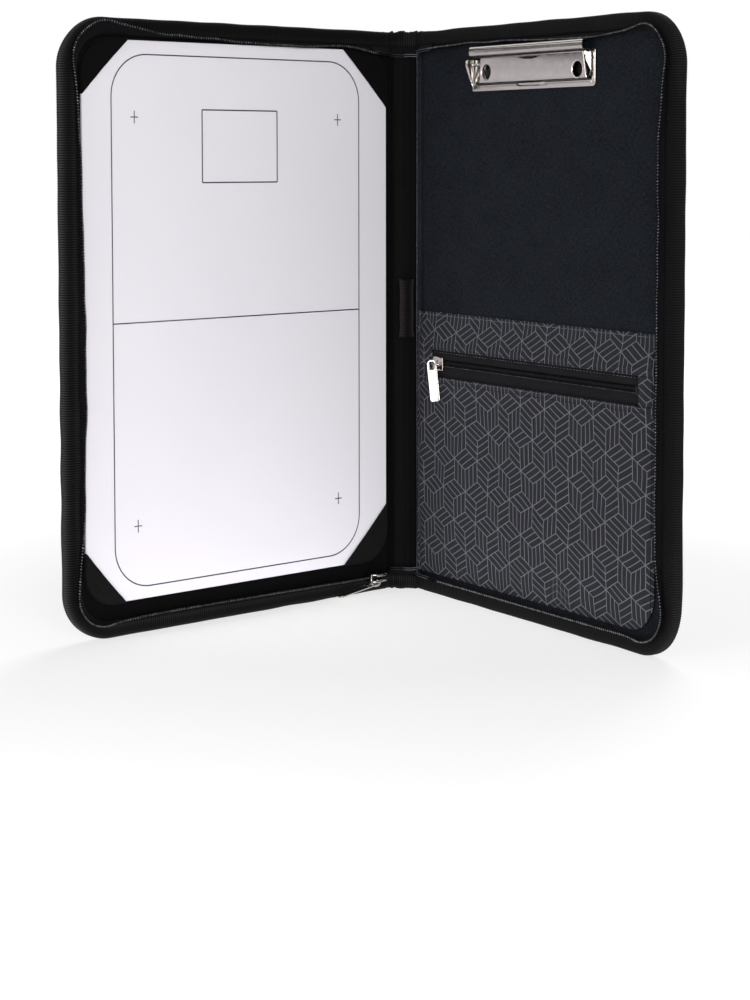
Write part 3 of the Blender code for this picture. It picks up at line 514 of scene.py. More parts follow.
class Look(Tree):
    """A procedural material round one principled shader."""

    def __init__(self, name, roughness, metallic=0.0, specular=0.5, by_uv=True):
        self.material = bpy.data.materials.new(name)
        super().__init__(self.material)
        self.shader = self.nodes["Principled BSDF"]
        self.set("Roughness", roughness)
        self.set("Metallic", metallic)
        self.set("Specular IOR Level", specular)
        if by_uv:
            self.place = self.node("UVMap", uv_map="cloth")
        else:
            self.place = self.node("TexCoord", output=3)

    def set(self, name, value):
        self.join(self.shader.inputs[name], value)

    def vector(self, operation, *values, output=0):
        return self.node("VectorMath", *values, operation=operation, output=output)

    def mix(self, share, one, other):
        """A colour between two, by a share."""
        skipped = [None] * 5
        return self.node("Mix", share, *skipped, one, other, output=2, data_type="RGBA")

    def noise(self, size, detail=2.0, place=None):
        """Noise from 0 to 1 with spots of about one size, in metres."""
        return self.node("TexNoise", place or self.place, None, 1 / size, detail, 0.55)

    def wander(self, size, reach):
        """A slow shift of places, up to half the reach each way."""
        noise = self.node("TexNoise", self.place, None, 1 / size, 1.0, 0.5, output=1)
        return self.vector("MULTIPLY", self.vector("SUBTRACT", noise, (0.5,) * 3), reach)

    def spread(self, value, low, high, *onto):
        """Stretches a value from low to high over 0 to 1, or onto other ends."""
        return self.node("MapRange", value, low, high, *onto)

    def ramp(self, value, stops):
        """Greys between stops of (place, grey); the value is 1 at the last place."""
        made = self.nodes.new("ShaderNodeValToRGB")
        self.join(made.inputs[0], value)
        elements = made.color_ramp.elements
        while len(elements) < len(stops):
            elements.new(0.5)
        for element, (place, grey) in zip(elements, stops):
            element.position = place / stops[-1][0]
            element.color = (grey, grey, grey, 1.0)
        return Value(self, made.outputs[0])

    def shaded(self, colour, value, stops):
        """Paints shade on a colour by greys between stops of (millimetres, grey) along a value."""
        if not stops:
            return colour
        return self.vector("MULTIPLY", colour, self.ramp(value * (1 / (stops[-1][0] * MM)), stops))

    def split(self, vector):
        """The first two parts of a vector."""
        made = self.nodes.new("ShaderNodeSeparateXYZ")
        self.join(made.inputs[0], vector)
        return Value(self, made.outputs[0]), Value(self, made.outputs[1])

    def weave(self, pitch):
        """Height of a plain weave from 0 to 1, and where its upright yarns lie on top."""
        yarns = self.vector("MULTIPLY", self.place, (1 / pitch,) * 3)
        yarns = self.vector("ADD", yarns, self.wander(6 * pitch, (0.24,) * 3))
        waves = [self.math("SINE", value * math.pi) for value in self.split(yarns)]
        heights = []
        for one, other, way in ((*waves, 0.5), (*waves[::-1], -0.5)):
            heights.append(self.math("ABSOLUTE", one) * 0.5 + other * self.math("SIGN", one) * way)
        return self.math("MAXIMUM", *heights), self.math("GREATER_THAN", *heights)

    def bump(self, height, distance, strength=1.0, under=None):
        """Gives the surface a relief, on top of another."""
        made = self.nodes.new("ShaderNodeBump")
        made.inputs["Strength"].default_value = strength
        made.inputs["Distance"].default_value = distance
        self.join(made.inputs["Height"], height)
        if under is not None:
            self.join(made.inputs["Normal"], under)
        relief = Value(self, made.outputs[0])
        self.set("Normal", relief)
        return relief


def cloth(name, dark, light, pitch, relief, sheen, uneven=0.5, shades=()):
    """A plain weave: crowns painted lit, gaps painted in shade, slubs both ways, faint worn clouds."""
    look = Look(name, 0.85, specular=0.06)
    height, over = look.weave(pitch)
    one, other = (
        look.noise(1.5 * pitch, 2.0, look.vector("MULTIPLY", look.place, stretch))
        for stretch in ((1.0, 0.3, 1.0), (0.3, 1.0, 1.0))
    )
    slubs = (one + other - 1.0) * (1.6 * uneven)
    clouds = (look.noise(24 * MM, 3.0) - 0.5) * 0.5
    # The weave's height paints light on the yarn crowns and shade in the gaps
    share = height * 0.55 + over * 0.1 + 0.2 + (clouds + slubs)
    colour = look.mix(look.spread(share, 0.1, 0.95), dark, light)
    look.set("Base Color", look.shaded(colour, look.split(look.place)[0], shades))
    look.set("Sheen Weight", sheen)
    look.set("Sheen Roughness", 0.5)
    soft = look.bump(look.noise(9 * MM), 0.35 * MM, 0.5)
    look.bump(height, relief, 1.0, soft)
    return look.material


def ribbed(name, dark, light, pitch, relief, across_pitch, sheen=0.05, shades=(), painted_shade_along=()):
    """A tape of ribs wound with fine yarn; painted shade dims it by place across and by place along."""
    look = Look(name, 0.82, specular=0.06)
    along, across = look.split(look.place)
    wave = look.math("COSINE", along * (2 * math.pi / pitch)) * 0.5
    yarn = look.math("ABSOLUTE", look.math("SINE", across * (math.pi / across_pitch)))
    # The rib wave paints light on the ridges and shade in the grooves
    share = wave + yarn * 0.16 + look.noise(0.6 * MM) * 0.8 + look.noise(18 * MM) * 0.3
    colour = look.mix(look.spread(share, 0.2, 1.15), dark, light)
    look.set("Base Color", look.shaded(look.shaded(colour, across, shades), along, painted_shade_along))
    look.set("Sheen Weight", sheen)
    look.set("Sheen Roughness", 0.5)
    look.bump(wave + yarn * 0.25, relief)
    return look.material


def line_mask(look, value, count):
    """1 on evenly spaced lines of a value, count of them to each unit."""
    half_width = 0.022 * count
    many = value * count
    off = look.math("ABSOLUTE", many - look.math("ROUND", many))
    return look.spread(off, half_width * 1.3, half_width * 0.7)


def block_print(name):
    """Charcoal cloth printed with hatched tumbling blocks in thin grey lines."""
    look = Look(name, 0.8, specular=0.08)
    wide = 22 * MM
    edge = wide / math.sqrt(3)
    half = (wide / 2, wide * math.sqrt(3) / 2, 0.5)
    minus = tuple(-value for value in half)
    place = look.vector("ADD", look.place, look.wander(30 * MM, (3 * MM, 3 * MM, 0)))
    one = look.vector("WRAP", place, half, minus)
    other = look.vector("WRAP", look.vector("SUBTRACT", place, half), half, minus)
    lengths = [
        look.vector("LENGTH", look.vector("MULTIPLY", candidate, (1, 1, 0)), output=1)
        for candidate in (one, other)
    ]
    skipped = [None] * 3
    local = look.node(
        "Mix", look.math("LESS_THAN", *lengths), *skipped, other, one, output=1, data_type="VECTOR",
    )
    centre = look.vector("ADD", look.vector("SUBTRACT", place, local), (MM, MM, MM))
    centre = look.vector("SNAP", centre, (3 * MM,) * 3)
    turned = look.math("GREATER_THAN", look.node("TexWhiteNoise", centre, noise_dimensions="3D"), 0.5)
    spokes = ((0, 1, 0), (-math.sqrt(0.75), -0.5, 0), (math.sqrt(0.75), -0.5, 0))
    dots = [look.vector("DOT_PRODUCT", local, spoke, output=1) for spoke in spokes]
    least = look.math("MINIMUM", look.math("MINIMUM", dots[0], dots[1]), dots[2])
    shares = [look.math("DIVIDE", dot - least, 1.5 * edge) for dot in dots]
    ink = None
    for number in range(3):
        following, last = shares[(number + 1) % 3], shares[(number + 2) % 3]
        hatched = look.node("Mix", turned, None, following, last, data_type="FLOAT")
        lines = line_mask(look, hatched, 3)
        for value in (following, last):
            lines = look.math("MAXIMUM", lines, line_mask(look, value, 1))
        lines = lines * look.math("LESS_THAN", dots[number] - least, 1e-7)
        ink = lines if ink is None else look.math("MAXIMUM", ink, lines)
    height = look.weave(0.45 * MM)[0]
    # The weave's height paints the ground and the ink darker in its gaps, as shade
    ground = look.mix(height * 0.5 + look.noise(6 * MM) * 0.4, tone(23, 24, 27), tone(48, 49, 54))
    look.set("Base Color", look.mix(ink * (height * 0.4 + 0.55), ground, tone(114, 115, 122)))
    soft = look.bump(look.noise(8 * MM), 0.4 * MM, 0.5)
    look.bump(height, 0.06 * MM, 1.0, soft)
    return look.material


def board_white():
    """Coated white board: faint cloudy tint and wiped haze in its gloss."""
    look = Look("board_white", 0.2, specular=0.15)
    tint = look.mix(look.noise(110 * MM), (0.725, 0.70, 0.75, 1), (0.755, 0.73, 0.775, 1))
    look.set("Base Color", tint)
    look.set("Roughness", look.spread(look.noise(30 * MM, 3.0), 0.3, 0.7, 0.19, 0.23))
    look.bump(look.noise(70 * MM, 1.0), 0.15 * MM, 0.2)
    return look.material


def plain_metal(name, colour, roughness, scratch=0.02 * MM, painted_shade_bands=(), painted_dent=None):
    """Plated or bare metal with fine drawn lines and cloudy gloss.

    Bands of (low, high, share) in millimetres paint shade and dark reflections across its map. A painted
    dent is a dark lens of painted shade with its middle, half width, flat edge and depth in millimetres.
    """
    look = Look(name, roughness, metallic=1.0, by_uv=False)
    lines = look.noise(0.4 * MM, 3.0, look.vector("MULTIPLY", look.place, (1, 1, 0.06)))
    clouds = look.noise(7 * MM, 3.0)
    shade = look.mix(clouds, colour, scaled(colour, 0.86))
    # Painted shade and dark reflections in bands across the map
    if painted_shade_bands:
        along, across = look.split(look.node("UVMap", uv_map="cloth"))
        across = across + (look.noise(9 * MM) - 0.5) * (0.3 * MM)
        fade = 0.15 * MM
        for low, high, share in painted_shade_bands:
            above = look.spread(across, low * MM - fade, low * MM + fade)
            below = look.spread(across, high * MM + fade, high * MM - fade)
            shade = look.mix(above * below, shade, scaled(colour, share))
        if painted_dent is not None:
            centre, half, top, deep = (value * MM for value in painted_dent)
            off = look.math("DIVIDE", along - centre, half)
            lens = look.math("MAXIMUM", 1.0 - off * off, 0.0)
            inside = look.math("GREATER_THAN", across, top - lens * deep)
            inside = inside * look.math("LESS_THAN", across, top)
            shade = look.mix(inside, shade, scaled(colour, 0.05))
    look.set("Base Color", shade)
    look.set("Roughness", look.spread(clouds, 0.3, 0.7, roughness * 0.75, roughness * 1.35))
    look.bump(lines, scratch, 0.35)
    return look.material


def smooth_plastic(name, colour, roughness, specular=0.5):
    """Drawn plastic or thread: fine spots in its colour, gloss and surface."""
    look = Look(name, roughness, specular=specular)
    spots = look.noise(1.2 * MM, 3.0)
    look.set("Base Color", look.mix(spots, colour, scaled(colour, 1.8)))
    look.set("Roughness", look.spread(spots, 0.3, 0.7, roughness * 0.8, roughness * 1.3))
    look.bump(spots, 0.02 * MM, 0.6)
    return look.material


def wound_coil(name, pitch, phase, light):
    """Nylon wire with a painted glint at its crown, once in each pitch."""
    look = Look(name, 0.45, specular=0.05)
    turn = look.math("SINE", look.split(look.place)[0] * (2 * math.pi / pitch) + phase)
    # The crown is a painted glint
    crown = look.spread(turn + (look.noise(3 * MM) - 0.5) * 0.9, 0.75, 1.35)
    look.set("Base Color", look.mix(crown, tone(7, 7, 8), light))
    look.bump(look.noise(0.5 * MM, 3.0), 0.02 * MM, 0.6)
    return look.material


def porous_foam():
    """Grey foam with open cells."""
    look = Look("foam", 0.95, specular=0.1, by_uv=False)
    cells = look.node("TexVoronoi", look.place, None, 1 / (0.8 * MM))
    look.set("Base Color", look.mix(cells, tone(70, 70, 74), tone(118, 118, 122)))
    look.bump(cells, 0.3 * MM)
    return look.material


def fibre_board():
    """Pale brown fibre board with flecks."""
    look = Look("fibre_board", 0.85, specular=0.2, by_uv=False)
    flecks = look.noise(1.5 * MM, 4.0)
    look.set("Base Color", look.mix(flecks, tone(128, 112, 92), tone(168, 152, 130)))
    look.bump(flecks, 0.05 * MM)
    return look.material


RIB = 1.4 * MM
# Painted light and shade by the way round the binding in millimetres: outer leg, edge, inner leg
BINDING_PAINTED_SHADE_ACROSS = {
    FRONT: [
        (0, 0.5), (11, 0.6), (13, 1.0), (15, 0.9), (16.6, 0.5), (18, 0.26), (19.5, 0.15), (21.5, 0.15),
        (24, 0.4), (25.4, 0.2), (60, 0.2),
    ],
    BACK: [(0, 0.9), (13, 1.0), (16, 0.85), (18, 0.6), (21, 0.5), (24, 0.55), (25.4, 0.3), (60, 0.3)],
}
# Painted shade by the way along the binding in millimetres, from the spine's foot round to the spine's
# top
BINDING_PAINTED_SHADE_ALONG = {
    FRONT: [(0, 0.8), (200, 0.9), (250, 1.0), (560, 1.0), (612, 0.55), (833, 0.5)],
    BACK: [(0, 0.9), (250, 0.9), (320, 0.5), (540, 0.5), (612, 1.0), (833, 1.0)],
}
# One tape on both covers: the front's copy lit, the back's copy painted darker, as shade
BINDING = {
    side: ribbed(
        SIDES[side] + "_binding", tone(1, 1, 1), light, RIB, 0.16 * MM, 0.35 * MM, sheen,
        BINDING_PAINTED_SHADE_ACROSS[side], BINDING_PAINTED_SHADE_ALONG[side],
    )
    for side, light, sheen in ((FRONT, tone(66, 65, 68), 0.03), (BACK, tone(44, 43, 44), 0.02))
}
# Painted light and shade across the spine in millimetres: a painted lit fold left of the middle, at 24
SPINE_PAINTED_LIGHT = [(0, 0.3), (16, 0.3), (19.5, 1.0), (23, 1.0), (25.8, 0.75), (28, 0.4), (48, 0.35)]
OUTER_CLOTH = cloth("outer_cloth", tone(14, 13, 16), tone(47, 45, 52), 0.62 * MM, 0.10 * MM, 0.05)
LINING_CLOTH = cloth("lining_cloth", tone(7, 9, 12), tone(30, 34, 40), 0.5 * MM, 0.05 * MM, 0.0, 0.9)
BLACK_CLOTH = cloth("black_cloth", tone(2, 2, 3), tone(8, 8, 9), 0.45 * MM, 0.05 * MM, 0.01)
# A copy of the black cloth painted lighter, as light, for the corner pockets at the board's foot
FOOT_CLOTH = cloth("foot_cloth", tone(5, 5, 5), tone(24, 23, 24), 0.45 * MM, 0.05 * MM, 0.01)
SPINE_CLOTH = cloth(
    "spine_cloth", tone(2, 2, 3), tone(13, 13, 14), 0.45 * MM, 0.05 * MM, 0.01, shades=SPINE_PAINTED_LIGHT,
)
TAPE = cloth("zipper_tape", tone(4, 4, 5), tone(16, 15, 18), 0.5 * MM, 0.05 * MM, 0.01)
POCKET_TAPE = cloth("pocket_zipper_tape", tone(9, 9, 10), tone(30, 29, 32), 0.5 * MM, 0.05 * MM, 0.01)
WEBBING = ribbed("webbing", tone(20, 19, 22), tone(54, 52, 58), 0.9 * MM, 0.08 * MM, 0.6 * MM)
# Painted shade by the way round the pen loop in millimetres: the outside's right half in shade, its left
# half lit
ELASTIC_PAINTED_SHADE = [(0, 0.2), (4.4, 0.25), (5.6, 1.0), (9.6, 1.0), (60, 0.3)]
ELASTIC_RIB = 1.3 * MM
ELASTIC = ribbed(
    "elastic", tone(6, 5, 5), tone(40, 34, 35), ELASTIC_RIB, 0.08 * MM, 0.5 * MM, shades=ELASTIC_PAINTED_SHADE,
)
COIL_PITCH = 1.7 * MM
POCKET_COIL_PITCH = 1.15 * MM
# Near-black wire with painted glints in a light tone at its crowns
COIL = wound_coil("zipper_coil", COIL_PITCH, 0.0, tone(165, 165, 170))
POCKET_COIL = wound_coil("pocket_zipper_coil", POCKET_COIL_PITCH, 0.6, tone(128, 128, 132))
# One smooth cord on both covers: the back's copy painted lighter, as a highlight
PIPING = {
    FRONT: smooth_plastic("front_piping", tone(17, 17, 19), 0.35, 0.2),
    BACK: smooth_plastic("back_piping", tone(56, 56, 62), 0.3, 0.4),
}
THREAD = smooth_plastic("thread", tone(13, 13, 14), 0.8, 0.08)
MOTIF_THREAD = smooth_plastic("motif_thread", tone(54, 53, 59), 0.6, 0.2)
GREY_THREAD = smooth_plastic("grey_thread", tone(88, 88, 95), 0.7, 0.1)
PRINTED = block_print("printed_cloth")
WHITE = board_white()
INK = smooth_plastic("ink", tone(44, 45, 54), 0.4)
NICKEL_COLOUR = (0.60, 0.56, 0.53, 1.0)
NICKEL = plain_metal("nickel", NICKEL_COLOUR, 0.14)
# Painted shade and dark reflections on the jaw, by height about its pin: the roll's back, the groove,
# the crease and the lip's bend
JAW_PAINTED_SHADE = ((8.9, 9.3, 0.05), (3.6, 4.9, 0.08), (-12.0, -11.0, 0.12), (-13.3, -13.0, 0.3))
# The painted dent: a dark lens of painted shade under the groove, with no dent in the sheet
JAW_METAL = plain_metal(
    "nickel_jaw", NICKEL_COLOUR, 0.14, 0.006 * MM, JAW_PAINTED_SHADE, painted_dent=(119.2, 10.8, 2.8, 1.6),
)
# Painted shade and dark reflections on the ears by tenths of the way from bend to edge; the left ear's
# way is 1, the right one's -1
EAR_PAINTED_SHADE = {
    1: ((-0.3, 1.4, 0.12), (1.4, 2.5, 0.4), (2.5, 3.8, 0.06), (3.8, 5.6, 0.45), (5.6, 8.6, 0.06)),
    -1: ((4.4, 9.3, 0.7),),
}
EAR_METAL = {
    way: plain_metal(name, NICKEL_COLOUR, 0.2, painted_shade_bands=EAR_PAINTED_SHADE[way])
    for way, name in ((1, "nickel_left_ear"), (-1, "nickel_right_ear"))
}
FIBRE = smooth_plastic("black_fibre", tone(13, 13, 16), 0.6, 0.08)
STEEL = plain_metal("spring_steel", (0.34, 0.33, 0.32, 1.0), 0.32)
DARK_METAL = plain_metal("blackened_metal", (0.022, 0.022, 0.024, 1.0), 0.4)
FOAM = porous_foam()
STIFF = fibre_board()


# Riding

def stand_for(nodes):
    """Hides the CAD nodes that a piece replaces."""
    if nodes:
        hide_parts(*nodes)


def ride(made, body, slot, *nodes):
    """Lets a piece move with a cover or another body."""
    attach(made, BODIES.get(body, body))
    stand_for(nodes)


def cross(made, side, depth, slot, *nodes):
    """Bakes a soft piece over the crease by the spine and hides the CAD nodes it replaces."""
    start = fold(side, -FOLD_ZONE, depth, HEIGHT / 2)
    end = fold(side, FOLD_ZONE, depth, HEIGHT / 2)
    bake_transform(made)
    stand_for(nodes)


def look_of(node, look):
    """Gives a carried-over CAD node its detailed material."""
    materials = frame["nodes"][node].data.materials
    materials.clear()
    materials.append(look)


# Covers
# How far inside a cover's edge its cloths end
SEAM = 1.2 * MM
# Depth of the outer cloth where nothing pads it out
CLOTH_FACE = 0.05 * MM
# Angles round a rounded corner at which a grid has its rows
CORNER_ROWS = np.linspace(0, math.pi / 2, 10)[:-1]


def grid_to_ends(inner, turn, outer, ends, heights):
    """Reach and height of a grid: fixed columns up to a turn, then columns spread to the rows' ends."""
    fixed = np.broadcast_to(inner, (len(heights), len(inner)))
    reach = np.concatenate([fixed, turn + outer * (ends[:, None] - turn)], 1)
    return reach, np.broadcast_to(heights[:, None], reach.shape)


def sheet(name, side, reach, height, face, thick, look, uv=None):
    """A cloth on a cover, from the depth of its seen face; a negative thickness lies outwards."""
    outer = fold(side, reach, face, height)
    inner = fold(side, reach, face - thick, height)
    return slab(name, outer, inner, np.stack(uv or (reach, height), -1), look)


def cover_grid(start, inset, size):
    """Reach and height of a grid inside a cover's rounded outline."""
    low = RADIUS - (RADIUS - inset) * np.cos(CORNER_ROWS)
    heights = np.concatenate([low, steps(RADIUS, HEIGHT - RADIUS, size), HEIGHT - low[::-1]])
    beyond = np.maximum(np.maximum(RADIUS - heights, heights - (HEIGHT - RADIUS)), 0)
    ends = WIDTH - RADIUS + np.sqrt(np.maximum((RADIUS - inset) ** 2 - beyond**2, 0))
    bend_end, spread = 20 * MM, 50 * MM
    turn = WIDTH - spread
    inner = np.concatenate([steps(start, bend_end, 1 * MM)[:-1], steps(bend_end, turn, size)[:-1]])
    return grid_to_ends(inner, turn, steps(0, 1, size / spread), ends, heights)


def seam_rise(distance, width):
    """How far padding has risen at a distance from the seam that holds it down."""
    return 1 - np.exp(-np.maximum(distance, 0) / width)


WEB_LOW, WEB_HIGH = cover_box("cover_webbing", FRONT)
STRIP_LOW, STRIP_HIGH = cover_box("webbing_edge_strip", FRONT)
PUFF = 1.5 * MM


def outer_rise(side, reach, height):
    """How far the padded outer cloth stands out from the cover's flat outer face."""
    distance = edge_distance(reach, height) - OUTER_LEG
    held = seam_rise(distance, 5 * MM) * seam_rise(np.abs(reach) - 1 * MM, 3.5 * MM)
    if side == FRONT:
        away = np.maximum(WEB_LOW[0] - reach, reach - STRIP_HIGH[0])
        held = held * seam_rise(away + 0.5 * MM, 5 * MM)
        pucker = np.exp(-np.maximum(away, 0) / (9 * MM)) * (away > 0)
    else:
        pucker = 0.0
    pucker = np.maximum(pucker, np.exp(-np.maximum(distance, 0) / (9 * MM)))
    waves = ripple(3 + side, 11 * MM, height, 0.35 * reach) * pucker * 0.22 * MM
    long_waves = ripple(7 + side, 75 * MM, reach + 0.5 * height, 0.6 * height - reach) * 0.35 * MM
    small = ripple(11 + side, 26 * MM, reach, height) * 0.10 * MM
    rise = held * (PUFF + waves + long_waves + small)
    spine = smoothstep((-reach - 1 * MM) / (6 * MM)) * seam_rise(distance, 5 * MM)
    return np.where(reach < 0, spine * (0.9 * MM + 0.6 * small), rise)


def outer_cloth(side):
    """The padded outer cloth of a cover, with its half of the spine."""
    reach, height = cover_grid(-HALF_SPINE, SEAM, 2 * MM)
    crease = np.exp(-((reach / (2.2 * MM)) ** 2)) * 0.5 * MM
    face = CLOTH_FACE - outer_rise(side, reach, height) + crease
    uv = (side * (reach + HALF_SPINE), height)
    made = sheet(SIDES[side] + "_outer_cloth", side, reach, height, face, -0.6 * MM, OUTER_CLOTH, uv)
    nodes = ["back_outer_fabric", "spine_outer_fabric"] if side == BACK else ["front_outer_fabric"]
    cross(made, side, 0.0, "outer_cloth", *nodes)


def padding(side):
    """The foam under the outer cloth, thickest in the middle of its field."""
    reach, height = cover_grid(2.5 * MM, 2 * MM, 5 * MM)
    depth = CLOTH_FACE - outer_rise(side, reach, height) + 0.75 * MM
    outer = fold(side, reach, depth, height)
    inner = fold(side, reach, np.maximum(2.2 * MM, depth + 0.4 * MM), height)
    made = slab(SIDES[side] + "_padding", outer, inner, np.stack([reach, height], -1), FOAM)
    ride(made, side, "foam_grey", SIDES[side] + "_foam")


def spine_padding():
    """The foam of the spine, crowned across."""
    half = 8 * MM
    across, up = np.meshgrid(steps(-half, half, 1 * MM), steps(3 * MM, HEIGHT - 3 * MM, 6 * MM))
    crown = 0.7 * MM * (1 - (across / half) ** 2)
    outer = np.stack([across, CLOTH_FACE + crown - 0.9 * MM, up], -1)
    inner = np.stack([across, np.full_like(across, -3.8 * MM), up], -1)
    made = slab("spine_padding", outer, inner, np.stack([across, up], -1), FOAM)
    ride(made, "spine", "foam_grey", "spine_foam")


# Where a cover's lining begins, from the crease
LINING_START = {FRONT: 3.7 * MM, BACK: -3.0 * MM}


def lining(side):
    """The flat inner cloth of a cover, hemmed beside the spine."""
    begin = LINING_START[side]
    reach, height = cover_grid(begin, SEAM, 2.5 * MM)
    distance = edge_distance(reach, height) - INNER_LEG
    pucker = np.exp(-np.maximum(distance, 0) / (7 * MM))
    waves = ripple(21 + side, 9 * MM, height, 0.4 * reach) * pucker * 0.06 * MM
    soft = ripple(23 + side, 60 * MM, reach, height) * 0.05 * MM
    hem = 0.3 * MM * (1 - smoothstep((reach - begin - 2 * MM) / (1.2 * MM)))
    face = LINING_FACE + waves + soft + hem
    look = LINING_CLOTH if side == BACK else BLACK_CLOTH
    made = sheet(SIDES[side] + "_lining_cloth", side, reach, height, face, 0.45 * MM, look)
    cross(made, side, LINING_FACE, "lining_cloth", SIDES[side] + "_lining")


def spine_lining(side):
    """Half of the soft inner cloth of the spine, in standing folds."""
    tail_end = 8 * MM
    reach, height = steps(-HALF_SPINE, tail_end, 0.5 * MM), steps(SEAM, HEIGHT - SEAM, 4 * MM)
    reach, height = np.meshgrid(reach, height)
    sway = ripple(31 + side, 130 * MM, height) * 0.8 * MM
    folds = 0.0
    for place, width, tall in ((-10.2, 2.2, 1.3), (-5.2, 2.4, 1.0), (-0.6, 2.0, 0.8)):
        fade = 0.75 + 0.4 * ripple(33 + side + round(place), 160 * MM, height)
        folds = folds + fade * tall * MM * np.exp(-(((reach - place * MM - sway) / (width * MM)) ** 2))
    middle = smoothstep((reach + HALF_SPINE) / (2.5 * MM))
    ends = seam_rise(np.minimum(height, HEIGHT - height) - 6 * MM, 6 * MM)
    tail = 1 - smoothstep((reach + (5.2 if side == BACK else -3.9) * MM) / (2.0 * MM))
    rise = 0.35 * MM + folds * (0.35 + 0.65 * middle)
    face = LINING_FACE - 0.5 * MM + rise * ends * tail - 0.25 * MM * (1 - tail)
    uv = (24 * MM + side * (reach + HALF_SPINE), height)
    made = sheet("spine_lining_" + SIDES[side], side, reach, height, face, 0.4 * MM, SPINE_CLOTH, uv)
    nodes = ["spine_lining"] if side == BACK else []
    cross(made, side, LINING_FACE, "lining_cloth", *nodes)


# Binding: (inset, depth) of its section in millimetres, the outside first
BINDING_OUTSIDE = [
    (10.5, -0.55), (10.3, -0.95), (9.6, -1.15), (7.6, -1.25), (5.2, -1.32), (3.2, -1.3), (1.9, -1.15),
    (0.95, -0.75), (0.35, -0.1), (0.08, 0.8), (0.0, 2.0), (0.0, 3.4), (0.08, 4.7), (0.35, 5.6),
    (0.95, 6.3), (1.9, 6.75), (3.2, 6.95), (5.2, 6.98), (7.2, 6.88), (8.5, 6.8), (9.05, 6.6), (9.2, 6.2),
]
BINDING_INSIDE = [
    (9.0, 5.85), (6.0, 5.85), (2.4, 5.8), (1.2, 5.2), (0.9, 4.0), (0.9, 1.2), (1.2, 0.1), (2.4, -0.3),
    (6.0, -0.3), (10.3, -0.3),
]
# Depth about which the binding bends over the crease
BINDING_MIDDLE = 2.5 * MM


def section_frame(section):
    """Points, outward ways and the run round a closed section."""
    points = np.array(section) * MM
    ahead = unit(np.roll(points, -1, 0) - np.roll(points, 1, 0))
    outward = np.stack([ahead[:, 1], -ahead[:, 0]], 1)
    return points, outward, run_along(np.concatenate([points, points[:1]]))


# Folds near the spine: distance from the spine's middle, width and height, in millimetres
CREASE_FOLDS = {
    FRONT: ((1.0, 2.4, -0.9), (5.6, 1.5, 0.25), (8.6, 1.3, -0.55), (13.5, 2.2, 0.2)),
    BACK: ((3.4, 1.4, 0.3), (6.8, 1.2, -0.45), (10.2, 1.0, 0.35), (12.6, 1.1, -0.3), (17.5, 2.5, 0.2)),
}


def crease_folds(side, run):
    """Pinches and bulges of the binding where it bends over the spine, not the same at both ends."""
    at_top = run > EDGE_RUN / 2
    distance = np.where(at_top, EDGE_RUN - run, run)
    total = 0.0
    for number, (place, width, tall) in enumerate(CREASE_FOLDS[side]):
        shift = np.where(at_top, 0.0, (1.3, -0.8, 0.6)[number % 3])
        total = total + tall * MM * np.exp(-(((distance - (place + shift) * MM) / (width * MM)) ** 2))
    fade = 1 - smoothstep(distance / (34 * MM))
    return total + 0.22 * MM * ripple(47 + side, 3.2 * MM, distance) * fade


def binding(side):
    """The ribbed tape folded over a cover's edge and its half of the spine's ends."""
    points, outward, around = section_frame(BINDING_OUTSIDE + BINDING_INSIDE)
    run = steps(0, EDGE_RUN, RIB / 4)
    outside = (np.arange(len(points)) < len(BINDING_OUTSIDE)).astype(float)
    ribs = 0.15 * MM * np.cos(2 * math.pi * run / RIB)
    swell = 0.16 * MM * ripple(41 + side, 45 * MM, run) + crease_folds(side, run)
    wander = 0.18 * MM * ripple(43 + side, 60 * MM, run)
    lift = (ribs + swell)[:, None] * outside
    inset = points[:, 0] + lift * outward[:, 0] + wander[:, None] * (points[:, 0] > 6 * MM)
    depth = points[:, 1] + lift * outward[:, 1]
    rings = edge_point(side, run[:, None], inset, depth)
    rings[..., 2] = np.clip(rings[..., 2], 0.0, HEIGHT + 0.8 * MM)
    made = tube(SIDES[side] + "_edge_binding", rings, BINDING[side], run, around)
    nodes = [SIDES[side] + "_binding"]
    if side == BACK:
        nodes += ["spine_binding_top", "spine_binding_bottom"]
    cross(made, side, BINDING_MIDDLE, "ribbed_binding", *nodes)
    for leg, inset, depth, way in (("outer", 9.0, -1.25, -1), ("inner", 7.9, 6.9, 1)):
        line = edge_point(side, steps(15 * MM, EDGE_RUN - 15 * MM, 1.5 * MM), inset * MM, depth * MM)
        sewn = stitches(f"{SIDES[side]}_binding_stitches_{leg}", line, way * INTO[side], THREAD)
        cross(sewn, side, BINDING_MIDDLE, "ribbed_binding")


# Main zipper
ZIPPER_START = 12.6 * MM + HALF_SPINE
# How far the slider's nose gets along the edge; up to there the tape stands in the slider's channel
SLIDER_RUN = 222 * MM
